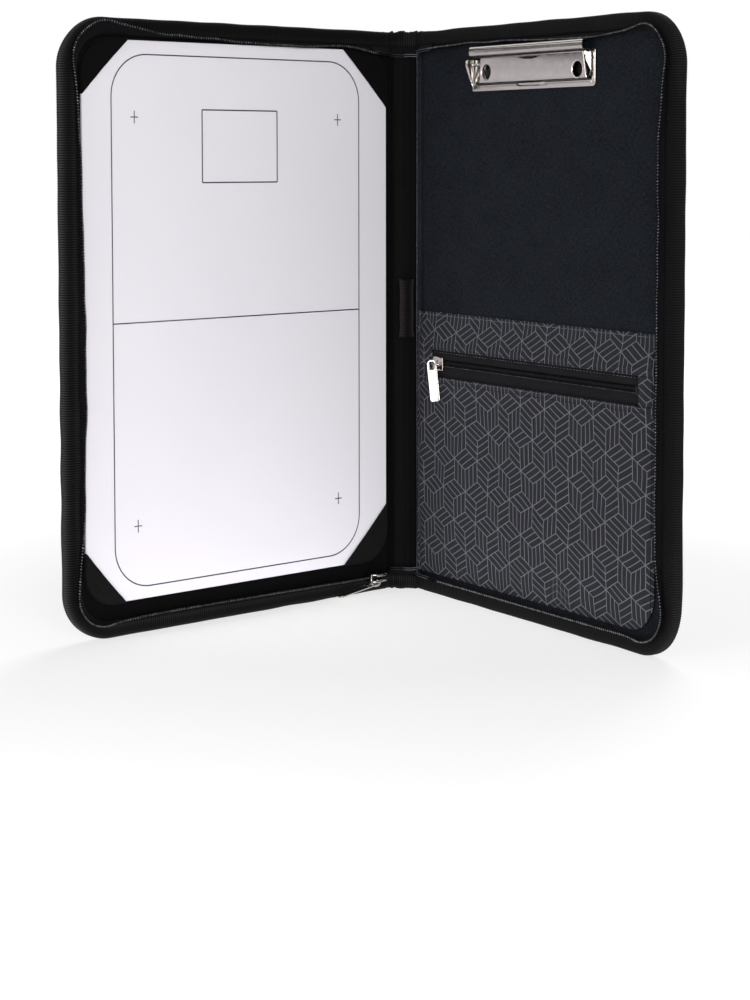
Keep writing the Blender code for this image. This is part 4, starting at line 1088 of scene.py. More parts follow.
# How far the standing tape leans in over the board, in millimetres, by the run along the edge
LEAN = {
    FRONT: (
        (25, 0.2), (60, 0.4), (120, 0.9), (160, 1.2), (200, 1.1), (212, 0.4), (222, 0.1), (228, -1.1),
        (245, -4.6), (262, -5.3), (278, -4.3), (295, -2.4), (305, -1), (325, -0.3), (352, 0.2),
        (380, 1.3), (408, 1), (435, 0.8), (463, 0.2), (490, -0.4), (512, -0.9), (534, -1.8), (550, -3),
        (565, -5.6), (585, -7.4), (605, -8.2), (617, -6.2), (626, -3.8), (635, -2.4), (645, -1.3),
        (655, -1), (670, -0.4), (687, 0.3), (705, 1.3), (722, 1.8), (740, 1.8), (757, 1.4), (775, 0.6),
        (784, 0.9), (792, 2.1), (801, 3.6), (812, 4.4), (833, 4.6),
    ),
    BACK: (
        (25, 0.1), (60, 0.1), (200, 0), (222, 0.1), (228, -1.2), (245, -4.5), (262, -4.8), (272, -4.5),
        (280, -2.2), (297, 0.6), (318, 1), (383, 0.7), (426, 0.6), (448, 0.3), (470, 0.1), (490, 0.3),
        (512, 0.6), (530, 0.2), (540, -1), (554, -3.5), (567, -4.8), (590, -4.8), (600, -3.7),
        (608, -2.3), (620, 0.6), (636, 1.9), (664, 2.1), (692, 1.3), (728, 0.3), (760, 0.1), (779, 0.5),
        (796, 1), (808, 1.8), (833, 2.2),
    ),
}


def zipper_lean(side, run):
    """How far the standing zipper tape leans in from upright; where the slider runs, without waves."""
    places, leans = np.array(LEAN[side], float).T * MM
    soft = np.mean([np.interp(run + shift * MM, places, leans) for shift in range(-6, 7, 2)], axis=0)
    past_slider = smoothstep((run - SLIDER_RUN) / (20 * MM))
    return soft + 0.25 * MM * ripple(53 + side, 40 * MM, run) * past_slider


COIL_INSET = 9.8 * MM
COIL_DEPTH = 10.1 * MM
COIL_RADIUS = 0.62 * MM
COIL_WIRE = 0.32 * MM


def coil_rings(side, run, inset):
    """Rings of a wound wire: each turn leans over and hooks back, as in a nylon zipper."""
    angle = 2 * math.pi * run / COIL_PITCH
    ends = smoothstep(np.minimum(run - run[0], run[-1] - run) / (5 * MM))
    hook = run + 0.22 * COIL_PITCH * np.sin(angle) * ends
    inset = inset + COIL_RADIUS * np.cos(angle) * ends
    depth = COIL_DEPTH + COIL_RADIUS * np.sin(angle) * ends - 1.6 * MM * (1 - ends)
    return along_curve(edge_point(side, hook, inset, depth), COIL_WIRE, 6)


# The way round a tape's section, for its map
TAPE_GIRTH = 30 * MM


def main_zipper(side):
    """A cover's half of the main zipper: the standing tape and the coil along its edge."""
    run = steps(ZIPPER_START, EDGE_RUN - ZIPPER_START, 1.5 * MM)
    lean = zipper_lean(side, run)[:, None]
    share = np.array([0, 0, 0, 0.1, 0.35, 0.7, 1, 1, 0.7, 0.35, 0.1, 0, 0, 0])
    flat = np.array([4.5, 7.5, 8.9, 9.45, 9.6, 9.6, 9.55, 10.05, 10.1, 10.1, 9.95, 9.5, 7.7, 4.5]) * MM
    depth = np.array([5.6, 5.6, 5.7, 6.3, 7.3, 8.6, 10.2, 10.2, 8.6, 7.3, 6.0, 5.25, 5.15, 5.15]) * MM
    depth = depth + 1.3 * MM * smoothstep(-lean / (5 * MM)) * np.minimum(share, 0.35)
    rings = edge_point(side, run[:, None], flat + share * lean, depth)
    around = [*run_along(np.stack([flat, depth[0]], 1)), TAPE_GIRTH]
    tape = tube(SIDES[side] + "_tape", rings, TAPE, run, around)
    ride(tape, side, "zipper_tape", SIDES[side] + "_zipper_tape")
    start = ZIPPER_START if side == FRONT else ZIPPER_START + 12.4 * MM
    run = steps(start, EDGE_RUN - ZIPPER_START, COIL_PITCH / 10)
    rings = coil_rings(side, run, COIL_INSET + zipper_lean(side, run))
    coil = tube(SIDES[side] + "_coil", rings, COIL, run, np.arange(7) * 0.4 * MM)
    ride(coil, side, "zipper_coil", SIDES[side] + "_zipper_teeth")


# How far a strap's free edge is drawn in where it joins the standing tape at the top, by its width
STRAP_DRAW = {FRONT: -0.10, BACK: 0.04}


def zipper_ends(side):
    """The smooth tape ends that hang from cover to cover across the spine, with their piped edges."""
    root, bend = 5.2 * MM, 6 * MM
    flat = np.array([5.0, 8.0, 9.6, 10.6, 11.6, 12.3, 12.7, 12.4, 11.9, 11.4, 10.8, 9.6, 7.6, 5.0]) * MM
    depth = np.array([5.7, 5.9, 6.6, 7.6, 8.3, 8.1, 7.6, 7.1, 7.3, 6.9, 6.4, 5.7, 5.3, 5.2]) * MM
    around = [*run_along(np.stack([flat, depth], 1)), TAPE_GIRTH]
    hang = np.clip((flat - 5 * MM) / (7 * MM), 0, 1)
    length = ZIPPER_START + 7 * MM
    run = steps(0, length, 0.8 * MM)
    near = smoothstep((run - 9 * MM) / (14 * MM))[:, None]
    deepened = 1 + 0.85 * near
    sag = 2.9 * MM * (1 - smoothstep(run / length))[:, None] * hang
    crumple = 0.2 * MM * ripple(61 + side, 11 * MM, run)[:, None] * hang
    for where, drawn, sagging, place in (
        ("top", STRAP_DRAW[side], 1.0, EDGE_RUN - run), ("bottom", 0.16, 0.4, run),
    ):
        inset = flat * (1 - drawn * near * hang) + sagging * sag + crumple
        rings = edge_point(side, place[:, None], inset, root + (depth - root) * deepened)
        made = tube(f"zipper_end_{where}_{SIDES[side]}", rings, TAPE, run, around)
        nodes = ["zipper_end_tab_" + where] if side == BACK else []
        cross(made, side, bend, "zipper_tape", *nodes)
        cords = []
        for at in (4, 6):
            deep = root + (depth[at] + 0.3 * MM - root) * deepened[:, 0]
            line = edge_point(side, place, inset[:, at] + 0.1 * MM, deep)
            cords.append(rod("cord", line, 0.26 * MM, PIPING[side]))
        made = joined(f"zipper_end_piping_{where}_{SIDES[side]}", cords)
        cross(made, side, bend, "zipper_tape")


# Board
BOARD_LOW, BOARD_HIGH = cover_box("tactics_board", FRONT)
BOARD_FACE = BOARD_HIGH[1]
BOARD_RADIUS = 20 * MM


def board():
    """The coated board with softened edges, and its printed rink."""
    outline = rounded(BOARD_LOW[::2], BOARD_HIGH[::2], 12, BOARD_RADIUS)
    place = cover_matrix(FRONT, 0, (BOARD_LOW[1] + BOARD_HIGH[1]) / 2, 0)
    thickness = BOARD_HIGH[1] - BOARD_LOW[1]
    made = plate("tactics_board_white", [outline], thickness, WHITE, place, 0.35 * MM, 3)
    points = coordinates(made.data)
    corner = np.zeros(len(made.data.loops), np.int32)
    made.data.loops.foreach_get("vertex_index", corner)
    uv = np.stack([(points - CREASE[FRONT]) @ ALONG[FRONT], points[:, 2]], 1)[corner]
    made.data.uv_layers.new(name="cloth").data.foreach_set("uv", uv.astype(np.float32).ravel())
    ride(made, FRONT, "white_board", "tactics_board")

    def printed(name, places, width, closed=False):
        low, high = BOARD_FACE - 0.05 * MM, BOARD_FACE + 0.05 * MM
        return ribbon(name, places, width, low, high, FRONT, INK, closed)

    low, high = (28.7 * MM, 27 * MM), (210.5 * MM, 330 * MM)
    middle = 178.5 * MM
    square = rounded((92.7 * MM, 257.5 * MM), (147.8 * MM, 299.5 * MM), 2, 0.4 * MM)
    lines = [
        printed("rink", rounded(low, high, 14, 24 * MM), 0.75 * MM, closed=True),
        printed("half", [(low[0], middle), (high[0], middle)], 0.75 * MM),
        printed("square", square, 0.8 * MM, closed=True),
    ]
    for centre in ((195, 294.7), (45.7, 295), (194.7, 62.2), (45.7, 62.2)):
        for arm in ((2.6, 0), (0, 3.6)):
            ends = [(np.array(centre) + way * np.array(arm)) * MM for way in (-1, 1)]
            lines.append(printed("cross", ends, 0.6 * MM))
    made = joined("board_lines", lines)
    ride(made, FRONT, "white_board")


def corner_pocket(at_outer, at_top):
    """A cloth triangle over a corner of the board, hemmed along its slanting mouth.

    Its grid runs from the mouth to the corner; a and b are the ways in from the board's two sides.
    """
    name = ("outer_" if at_outer else "spine_") + ("top" if at_top else "bottom")
    low, high = cover_box("corner_pocket_" + name, FRONT)
    thick = 0.55 * MM
    reach = high[0] - thick if at_outer else low[0] + thick
    height = high[2] - thick if at_top else low[2] + thick
    leg_reach = high[0] - low[0] - thick - (4.3 * MM if name == "outer_bottom" else 0.0)
    leg_height = high[2] - low[2] - thick
    along = -1 if at_outer else 1
    up = -1 if at_top else 1
    radius = BOARD_RADIUS
    share = np.linspace(0, 1, 41)
    upright, bend = leg_height - radius, math.pi / 2 * radius
    run = share * (upright + bend + (leg_reach - radius))
    angle = np.clip((run - upright) / radius, 0, math.pi / 2)
    edge_a = np.where(run < upright, 0, radius * (1 - np.cos(angle)))
    edge_b = np.where(run < upright, leg_height - run, radius * (1 - np.sin(angle)))
    past = run > upright + bend
    edge_a = np.where(past, radius + run - upright - bend, edge_a)
    edge_b = np.where(past, 0, edge_b)
    mouth_a, mouth_b = share * leg_reach, (1 - share) * leg_height
    levels = np.linspace(0, 1, 14)[:, None]
    a = mouth_a + (edge_a - mouth_a) * levels
    b = mouth_b + (edge_b - mouth_b) * levels
    pull = 0.4 * MM * np.sin(math.pi * share) * (1 - levels)
    a, b = a - 0.7 * pull, b - 0.7 * pull
    from_mouth = np.hypot(edge_a - mouth_a, edge_b - mouth_b) * levels
    hem = 0.35 * MM * (1 - smoothstep((from_mouth - 5 * MM) / (1 * MM)))
    crown = 0.5 * MM * np.sin(math.pi * share) * np.sin(math.pi * levels)
    droop = smoothstep(levels**4)
    face = BOARD_FACE + 0.25 * MM + thick + crown + hem * (1 - droop)
    rows_a, rows_b, rows_d = [*a], [*b], [*(face + 0 * a)]
    for drop, spread in ((0.5, 0.35), (1.4, 0.5), (2.9, 0.55)):
        rows_a.append(edge_a - spread * MM * (edge_a < radius))
        rows_b.append(edge_b - spread * MM * (edge_b < radius))
        rows_d.append(np.maximum(face[-1] - drop * MM, LINING_FACE + 0.35 * MM) + 0 * edge_a)
    a, b, depth = np.array(rows_a), np.array(rows_b), np.array(rows_d)
    depth += 0.08 * MM * ripple(71, 9 * MM, a, b)
    outer = fold(FRONT, reach + along * a, depth, height + up * b)
    inner_a, inner_b = a.copy(), b.copy()
    inner_a[-3:] += 0.5 * MM * (a[-3:] < radius)
    inner_b[-3:] += 0.5 * MM * (b[-3:] < radius)
    inner_depth = depth - thick
    inner_depth[-3:] = depth[-3:] - 0.2 * MM
    inner = fold(FRONT, reach + along * inner_a, inner_depth, height + up * inner_b)
    uv = np.stack([(a - b) * 0.7071, (a + b) * 0.7071], -1)
    # The foot's pockets take the copy painted lighter, as light
    look = BLACK_CLOTH if at_top else FOOT_CLOTH
    made = slab("corner_pocket_cloth_" + name, outer, inner, uv, look, merge=0.01 * MM)
    ride(made, FRONT, "lining_cloth", "corner_pocket_" + name)
    0.5 * leg_reach * leg_height


# Webbing on the outside
def webbing():
    """The wide webbing and the narrow strip, with their stitches, bar tacks and raised motif."""
    low, high = WEB_LOW[2], WEB_HIGH[2]
    for name, start, end, node in (
        ("wide_webbing", WEB_LOW[0], WEB_HIGH[0], "cover_webbing"),
        ("narrow_webbing", STRIP_LOW[0], STRIP_HIGH[0], "webbing_edge_strip"),
    ):
        reach, height = np.meshgrid(steps(start, end, 1 * MM), steps(low, high, 1.5 * MM))
        off = np.minimum(reach - start, end - reach)
        crown = 0.35 * MM * seam_rise(off, 3 * MM) + 0.10 * MM * ripple(81, 30 * MM, reach, height)
        wave = 0.12 * MM * ripple(83, 9 * MM, height) * np.exp(-off / (4 * MM))
        sway = 0.25 * MM * ripple(85, 90 * MM, height)
        outer = fold(FRONT, reach + sway, -(0.95 * MM + crown + wave), height)
        inner = fold(FRONT, reach + sway, -0.25 * MM, height)
        made = slab(name, outer, inner, np.stack([height, reach], -1), WEBBING)
        ride(made, FRONT, "webbing", node)
        for place, label in ((start + 1.3 * MM, "spine_side"), (end - 1.3 * MM, "outer_side")):
            heights = steps(low + 2 * MM, high - 2 * MM, 2 * MM)
            shift = 0.25 * MM * ripple(85, 90 * MM, heights)
            line = fold(FRONT, place + shift, -1.12 * MM, heights)
            sewn = stitches(f"{name}_stitches_{label}", line, -INTO[FRONT], THREAD)
            ride(sewn, FRONT, "webbing")
    lines = []

    def raised(places, width, top, foot, look, closed=False):
        lines.append(ribbon("raised", places, width, top * MM, foot * MM, FRONT, look, closed))

    start, end = WEB_LOW[0] + 6 * MM, WEB_HIGH[0] - 6 * MM
    middle = (start + end) / 2
    rows = [low + 3 * MM] + [low + row * MM for row in (62, 122, 182, 242)] + [high - 30 * MM]
    for foot, top in zip(rows, rows[1:]):
        centre = (foot + top) / 2
        for inset in (0.0, 4.5 * MM, 9.0 * MM):
            wide, tall = (end - start) / 2 - inset, (top - foot) / 2 - 4 * MM - inset
            shape = [
                (middle - wide, centre), (middle, centre - tall),
                (middle + wide, centre), (middle, centre + tall),
            ]
            places = []
            for one, other in zip(shape, shape[1:] + shape[:1]):
                for share in np.arange(0, 1, 1 / 6):
                    places.append(tuple(p + (q - p) * share for p, q in zip(one, other)))
            raised(places, 0.7 * MM, -1.58, -1.2, MOTIF_THREAD, closed=True)
    across = steps(WEB_LOW[0] + 1 * MM, WEB_HIGH[0] - 1 * MM, 0.8 * MM)
    for height in rows[1:]:
        for offset in (-0.5, 0.5):
            zigzag = height + (offset + 0.45 * (np.arange(len(across)) % 2)) * MM
            raised(np.stack([across, zigzag], 1), 0.35 * MM, -1.55, -1.1, THREAD)
    motif = joined("webbing_motif", lines)
    ride(motif, FRONT, "webbing")


# Document pocket
PANEL_LOW, PANEL_HIGH = cover_box("document_pocket_panel", BACK)
BAND_LOW, BAND_HIGH = cover_box("document_pocket_band", BACK)
# Where the pocket's cloth begins, from the crease
POCKET_START = -2.6 * MM
POCKET_FLOOR = LINING_FACE + 0.75 * MM
POCKET_HEM = 0.45 * MM
ZIP_HEIGHT = (PANEL_HIGH[2] + BAND_LOW[2]) / 2


def pocket_face(reach, height):
    """Depth of the pocket cloth's face: sewn down round its edges and lifted over the zipper."""
    side = seam_rise(np.minimum(reach - POCKET_START, PANEL_HIGH[0] - reach) + 0.5 * MM, 4 * MM)
    foot = seam_rise(height - PANEL_LOW[2], 9 * MM)
    top = smoothstep((BAND_HIGH[2] - 2 * MM - height) / (18 * MM))
    lift = 2.35 * MM * foot * top * side
    soft = 0.40 * MM * ripple(91, 48 * MM, reach, height)
    soft = soft + 0.16 * MM * ripple(93, 17 * MM, reach, 0.6 * height)
    calm = 1 - 0.7 * np.exp(-(((height - ZIP_HEIGHT) / (12 * MM)) ** 2))
    top_edge = seam_rise(BAND_HIGH[2] - height, 6 * MM)
    return POCKET_FLOOR + lift + soft * side * foot * calm * top_edge


def pocket_sheet(name, reach, height, node, hem_at=None):
    """One piece of the pocket's printed cloth, thicker along a folded hem."""
    face = pocket_face(reach, height)
    if hem_at is not None:
        face = face + POCKET_HEM * (1 - smoothstep((np.abs(height - hem_at) - 4 * MM) / (1 * MM)))
    made = sheet(name, BACK, reach, height, face, 0.5 * MM, PRINTED)
    cross(made, BACK, LINING_FACE, "printed_cloth", node)
    return made


def pocket_row(name, reach, height, face, look, radius, seed):
    """A row of stitches on the pocket's cloth."""
    return stitches(name, fold(BACK, reach, face, height), INTO[BACK], look, radius, seed)


def document_pocket():
    """The pocket's panel, its band and end tabs round the zipper, and the rows that sew them."""
    low, high = PANEL_LOW, PANEL_HIGH
    radius, spread = 20 * MM, 30 * MM
    foot = low[2] + radius
    corner = low[2] + radius * (1 - np.cos(CORNER_ROWS))
    heights = np.concatenate([corner, steps(foot, high[2], 1.5 * MM)])
    ends = high[0] - radius + np.sqrt(np.maximum(radius**2 - np.maximum(foot - heights, 0) ** 2, 0))
    turn = high[0] - spread
    inner = steps(POCKET_START, turn, 1.6 * MM)[:-1]
    reach, height = grid_to_ends(inner, turn, steps(0, 1, 1 / 18), ends, heights)
    panel = pocket_sheet("pocket_panel_cloth", reach, height, "document_pocket_panel", hem_at=high[2])
    reach, height = np.meshgrid(
        steps(POCKET_START, BAND_HIGH[0], 1.6 * MM), steps(BAND_LOW[2], BAND_HIGH[2], 1 * MM)
    )
    near_top = smoothstep((height - BAND_HIGH[2] + 4 * MM) / (4 * MM))
    height = height + 0.25 * MM * ripple(95, 7 * MM, reach) * near_top
    band = pocket_sheet("pocket_band_cloth", reach, height, "document_pocket_band", hem_at=BAND_LOW[2])
    for where in ("spine_side", "outer_side"):
        tab_low, tab_high = cover_box("pocket_end_tab_" + where, BACK)
        begin = min(tab_low[0], POCKET_START) if where == "spine_side" else tab_low[0]
        reach, height = steps(begin, tab_high[0], 1.5 * MM), steps(high[2], BAND_LOW[2], 1 * MM)
        reach, height = np.meshgrid(reach, height)
        made = pocket_sheet("pocket_tab_cloth_" + where, reach, height, "pocket_end_tab_" + where)
    on_hem, on_cloth = 0.44 * MM, 0.08 * MM
    reach = steps(POCKET_START + 1.5 * MM, high[0] - 1.5 * MM, 1.5 * MM)
    for number, height, rise, look in (
        (1, BAND_LOW[2] - 1.6 * MM, None, GREY_THREAD),
        (2, high[2] - 0.9 * MM, on_hem, GREY_THREAD),
        (3, BAND_HIGH[2] - 1.8 * MM, on_cloth, GREY_THREAD),
        (4, BAND_LOW[2] + 1.0 * MM, on_hem, THREAD),
        (5, high[2] - 3.4 * MM, on_hem, THREAD),
    ):
        face = 6.5 * MM if rise is None else pocket_face(reach, height) + rise
        sewn = pocket_row(f"pocket_row_{number}", reach, height, face, look, 0.17 * MM, number)
        cross(sewn, BACK, LINING_FACE, "printed_cloth")
    heights = steps(low[2] + 3 * MM, BAND_HIGH[2] - 3 * MM, 1.5 * MM)
    reach = high[0] - 1.8 * MM
    face = pocket_face(reach, heights) + 0.1 * MM
    sewn = pocket_row("pocket_row_side", reach, heights, face, THREAD, 0.2 * MM, 6)
    ride(sewn, BACK, "printed_cloth")


def pocket_zipper():
    """The pocket's closed tapes and the two coils on them."""
    start, end = cover_box("pocket_zipper_teeth_upper", BACK)
    tape_low, tape_high = cover_box("pocket_zipper_tape_upper", BACK)
    pitch = POCKET_COIL_PITCH
    for name, way in (("upper", 1), ("lower", -1)):
        offsets = np.array([0.15, 1.0, 2.2, 3.4, 4.6, 6.0, 7.4, 8.8, 10.5]) * MM
        relief = np.array([0.0, 0.0, 0.0, 0.15, 0.55, 0.35, -0.1, -0.3, -0.3]) * MM
        reach = steps(tape_low[0], tape_high[0], 1.5 * MM)
        across, up = np.meshgrid(offsets, reach)
        face = 6.55 * MM + relief + 0.10 * MM * ripple(97 + way, 30 * MM, up)
        tape = sheet(
            "pocket_tape_" + name, BACK, up, ZIP_HEIGHT + way * across, face, 0.45 * MM, POCKET_TAPE,
            uv=(up, across),
        )
        ride(tape, BACK, "zipper_tape", "pocket_zipper_tape_" + name)
        run = steps(start[0], end[0], pitch / 9)
        angle = 2 * math.pi * run / pitch + (math.pi if way > 0 else 0)
        offset = 1.55 * MM + 0.42 * MM * np.cos(angle)
        depth = 7.15 * MM + 0.42 * MM * np.sin(angle)
        rings = along_curve(fold(BACK, run, depth, ZIP_HEIGHT + 0.5 * MM + way * offset), 0.24 * MM, 5)
        coil = tube("pocket_coil_" + name, rings, POCKET_COIL, run, np.arange(6) * 0.35 * MM)
        ride(coil, BACK, "zipper_coil", "pocket_zipper_teeth_" + name)


# Pen loop
def pen_loop():
    """A ribbed elastic band sewn to the spine as an upright tube."""
    low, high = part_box("pen_loop")
    centre = (low.x + high.x) / 2
    half = (high.x - low.x) / 2 - 0.4 * MM
    rise = (high.y - low.y) - 0.4 * MM
    back = high.y
    angles = np.linspace(0, math.pi, 25)
    heights = steps(low.z, high.z, ELASTIC_RIB / 5)
    ribs = 0.13 * MM * np.cos(2 * math.pi * heights / ELASTIC_RIB)
    fade = 1.5 * MM
    flare = 0.35 * MM * (np.exp(-((heights - low.z) / fade)) + np.exp(-((high.z - heights) / fade)))
    swell = (ribs + flare + 0.12 * MM * ripple(99, 12 * MM, heights))[:, None]
    outer_x = centre + (half + swell) * np.cos(angles)
    outer_y = back - (rise + swell) * np.sin(angles) ** 0.8
    inner_x = centre + (half - 0.75 * MM) * np.cos(angles[::-1]) + 0 * swell
    inner_y = back - 0.5 * MM - (rise - 1.2 * MM) * np.sin(angles[::-1]) ** 0.8 + 0 * swell
    x = np.concatenate([outer_x, inner_x], 1)
    y = np.concatenate([outer_y, inner_y], 1)
    z = np.broadcast_to(heights[:, None], x.shape)
    rings = np.stack([x, y, z], -1)
    i, j = grid_corners(*rings.shape[:2], wrap=True)
    columns = rings.shape[1]
    uv = np.stack([heights[i], 0.4 * MM * j], -1)
    quads = i * columns + j % columns
    k = np.arange(len(angles) - 1)
    ends = []
    for base in (0, (len(heights) - 1) * columns):
        ends.append(base + np.stack([k, k + 1, columns - 2 - k, columns - 1 - k], 1))
    ends = np.concatenate(ends)
    end_uv = np.stack([0 * ends, 0.4 * MM * (ends % columns)], -1)
    quads, uv = np.concatenate([quads, ends]), np.concatenate([uv, end_uv])
    made = face_outward(build("pen_loop_elastic", rings, quads, ELASTIC, uv))
    ride(made, "spine", "elastic", "pen_loop")


# Lever clip
BASE_LOW, BASE_HIGH = cover_box("clip_base_plate", BACK)
PIVOT_HEIGHT = sum(corner[2] for corner in cover_box("clip_pivot_pin", BACK)) / 2
JAW_LOW, JAW_HIGH = cover_box("clip_jaw_plate", BACK)
ON_LINING = BASE_LOW[1]
CLIP_MIDDLE = (JAW_LOW[0] + JAW_HIGH[0]) / 2
# Middles of the jaw's access holes, a little off the rivets below them
HOLES = {}
for where, off_reach, off_height in (("spine_side", 1.8, 0.5), ("outer_side", 2.0, -0.8)):
    rivet_low, rivet_high = cover_box("clip_rivet_" + where, BACK)
    HOLES[where] = (
        (rivet_low[0] + rivet_high[0]) / 2 + off_reach * MM,
        (rivet_low[2] + rivet_high[2]) / 2 + off_height * MM,
    )


def round_bends(points, radius, count=4):
    """A line of points with its inner corners rounded."""
    points = [np.array(p, float) for p in points]
    made = [points[0]]
    for before, corner, after in zip(points, points[1:], points[2:]):
        one, other = before - corner, after - corner
        reach = min(radius, 0.45 * np.linalg.norm(one), 0.45 * np.linalg.norm(other))
        start = corner + one / np.linalg.norm(one) * reach
        end = corner + other / np.linalg.norm(other) * reach
        for step in range(count + 1):
            share = step / count
            made.append((1 - share) ** 2 * start + 2 * share * (1 - share) * corner + share**2 * end)
    made.append(points[-1])
    return np.array(made)


JAW_SHEET = 0.5 * MM
BASE_SHEET = 0.8 * MM
EAR_BEND = 2.2 * MM
# Height about the pin and stand off the lining, in millimetres: the roll's middle and radius, the jaw's
# outer face below the roll, and the free edge of an ear
ROLL = (8.8, 7.0, 1.6)
JAW_FACE = 5.35
JAW_LINE = [
    (5.9, 8.55), (5.0, 8.25), (4.65, 7.3), (4.5, 6.0), (4.1, 5.2), (3.5, 5.32), (-10.2, JAW_FACE),
    (-11.3, 4.9), (-12.0, 2.8), (-12.6, 2.1), (-13.6, 1.95),
]
EAR_LINE = [(-14.0, 0.15), (-0.6, 5.95), (2.5, 5.95), (3.0, 5.0)]
# How far the jaw's face is drawn in at its left end, beside the ear
FACE_INSET = 4.3 * MM
HOLE_RADIUS = 5.1 * MM
# Rim of an access hole in millimetres: radius beyond the hole's, and rise off the face
HOLE_RIM = [
    (0.2, -0.1), (0.15, 0.04), (-0.12, 0.02), (-0.4, -0.07), (-0.6, -0.25), (-0.73, -0.5), (-0.76, -0.8),
    (-0.6, -0.8), (0.1, -0.55),
]
# Stands an outline of (height, stand) upright on a cover, across the reach
TURNED = Matrix(((0, 0, 1, 0), (1, 0, 0, 0), (0, 1, 0, 0), (0, 0, 0, 1)))


def jaw_line():
    """Height and stand along the jaw's outer face, from the roll to the lip, and the ways out of it."""
    places = 17
    angles = np.radians(np.linspace(-175, 90, places))
    tight = ROLL[2] - 0.012 * np.arange(places)[::-1]
    spiral = np.stack([ROLL[0] + tight * np.cos(angles), ROLL[1] + tight * np.sin(angles)], 1)
    corners = np.concatenate([spiral, round_bends(JAW_LINE, 0.6)]) * MM
    dense = [corners[0]]
    for one, other in zip(corners, corners[1:]):
        count = max(1, round(np.linalg.norm(other - one) / (0.7 * MM)))
        dense += [one + (other - one) * (k + 1) / count for k in range(count)]
    line = np.array(dense)
    ahead = unit(np.gradient(line, axis=0))
    return line[:, 0], line[:, 1], np.stack([ahead[:, 1], -ahead[:, 0]], 1)


def with_holes(made):
    """Cuts the access holes through the jaw's sheet."""
    cutters = []
    for reach, height in HOLES.values():
        ends = [fold(BACK, reach, ON_LINING + deep * MM, height) for deep in (3.0, 25.0)]
        cutters.append(rod("hole", ends, HOLE_RADIUS, NICKEL, sides=40))
        step = made.modifiers.new("hole", "BOOLEAN")
        step.operation = "DIFFERENCE"
        step.object = cutters[-1]
    depsgraph = bpy.context.evaluated_depsgraph_get()
    mesh = bpy.data.meshes.new_from_object(made.evaluated_get(depsgraph))
    made.modifiers.clear()
    made.data = mesh
    for cutter in cutters:
        bpy.data.objects.remove(cutter)
    return made


def hole_rim(reach, height):
    """The turned-in rim of an access hole."""
    angle = circle(40)
    rings = []
    for more, rise in HOLE_RIM:
        radius = HOLE_RADIUS + more * MM
        place = (reach + radius * np.cos(angle), height + radius * np.sin(angle))
        rings.append(fold(BACK, place[0], ON_LINING + (JAW_FACE + rise) * MM, place[1]))
    rings = np.stack(rings + rings[:1])
    i, j = grid_corners(*rings.shape[:2], wrap=True)
    rim = build("rim", rings, i * len(angle) + j % len(angle), JAW_METAL, np.zeros((i.size, 2)))
    return face_outward(rim, merge=0.001 * MM)


def clip_jaw():
    """The sprung plate: a rolled top edge, a groove, a flat face with two holes, and a gripping lip."""
    above, stand, outward = jaw_line()
    span = JAW_HIGH[0] - JAW_LOW[0]
    fine = np.array([0, 0.12, 0.3, 0.55, 0.85, 1.2]) * MM
    middle = steps(1.8 * MM, span - 1.8 * MM, 1 * MM)
    across = np.concatenate([fine, middle, span - fine[::-1]])[:, None]
    in_face = smoothstep((4.4 * MM - above) / (0.7 * MM))
    up_face = np.clip((above + 12 * MM) / (17 * MM), 0, 1)
    beside_ear = FACE_INSET * smoothstep((above + 11.2 * MM) / (0.5 * MM))
    left = in_face * (0.3 * MM + 0.9 * MM * up_face + beside_ear)
    right = in_face * (0.2 * MM + 3.2 * MM * up_face)
    reach = JAW_LOW[0] + left + across * (span - left - right) / span
    end = np.minimum(across, span - across)
    turn = np.where(across < span / 2, 1.7, 0.45) * MM
    roundness = turn - np.sqrt(np.maximum(turn**2 - (turn - np.minimum(end, turn)) ** 2, 0))
    lens = np.clip(1 - ((reach - CLIP_MIDDLE + 1.5 * MM) / (14 * MM)) ** 2, 0, 1)
    hump = np.exp(-(((above + 12.6 * MM) / ((0.8 + 0.6 * lens) * MM)) ** 2))
    droop = -0.5 * MM * smoothstep(lens * 1.5) * smoothstep((-above - 11 * MM) / (2 * MM))
    stand = stand + (1.5 * MM * smoothstep(lens * 1.6) * hump - 0.9 * roundness * in_face)
    height = PIVOT_HEIGHT + above + droop
    outer = fold(BACK, reach, ON_LINING + stand, height)
    under = ON_LINING + stand - JAW_SHEET * outward[:, 1]
    inner = fold(BACK, reach, under, height - JAW_SHEET * outward[:, 0])
    uv = np.stack(np.broadcast_arrays(reach, above), -1)
    members = [with_holes(slab("jaw_sheet", outer, inner, uv, JAW_METAL))]
    members += [hole_rim(*hole) for hole in HOLES.values()]
    low_side = [(-9.0, 3.0), (-4.2, 2.6), (-1.7, 1.35), (1.7, 1.35), (4.6, 3.0)]
    for end, top in ((JAW_LOW[0] + FACE_INSET + 1.6 * MM, 4.9), (JAW_HIGH[0] - 3.9 * MM, 4.7)):
        flap = [(4.6, top), (-10.6, top)] + low_side
        flap = round_bends(flap + flap[:1], 1.6)[1:] * MM
        matrix = cover_matrix(BACK, end, ON_LINING, PIVOT_HEIGHT)
        members.append(plate("flap", [flap], JAW_SHEET, JAW_METAL, matrix @ TURNED))
    made = joined("clip_lever_plate", members)
    made.data.set_sharp_from_angle(angle=math.radians(45))
    ride(made, "clip_jaw", "nickel", "clip_jaw_plate")


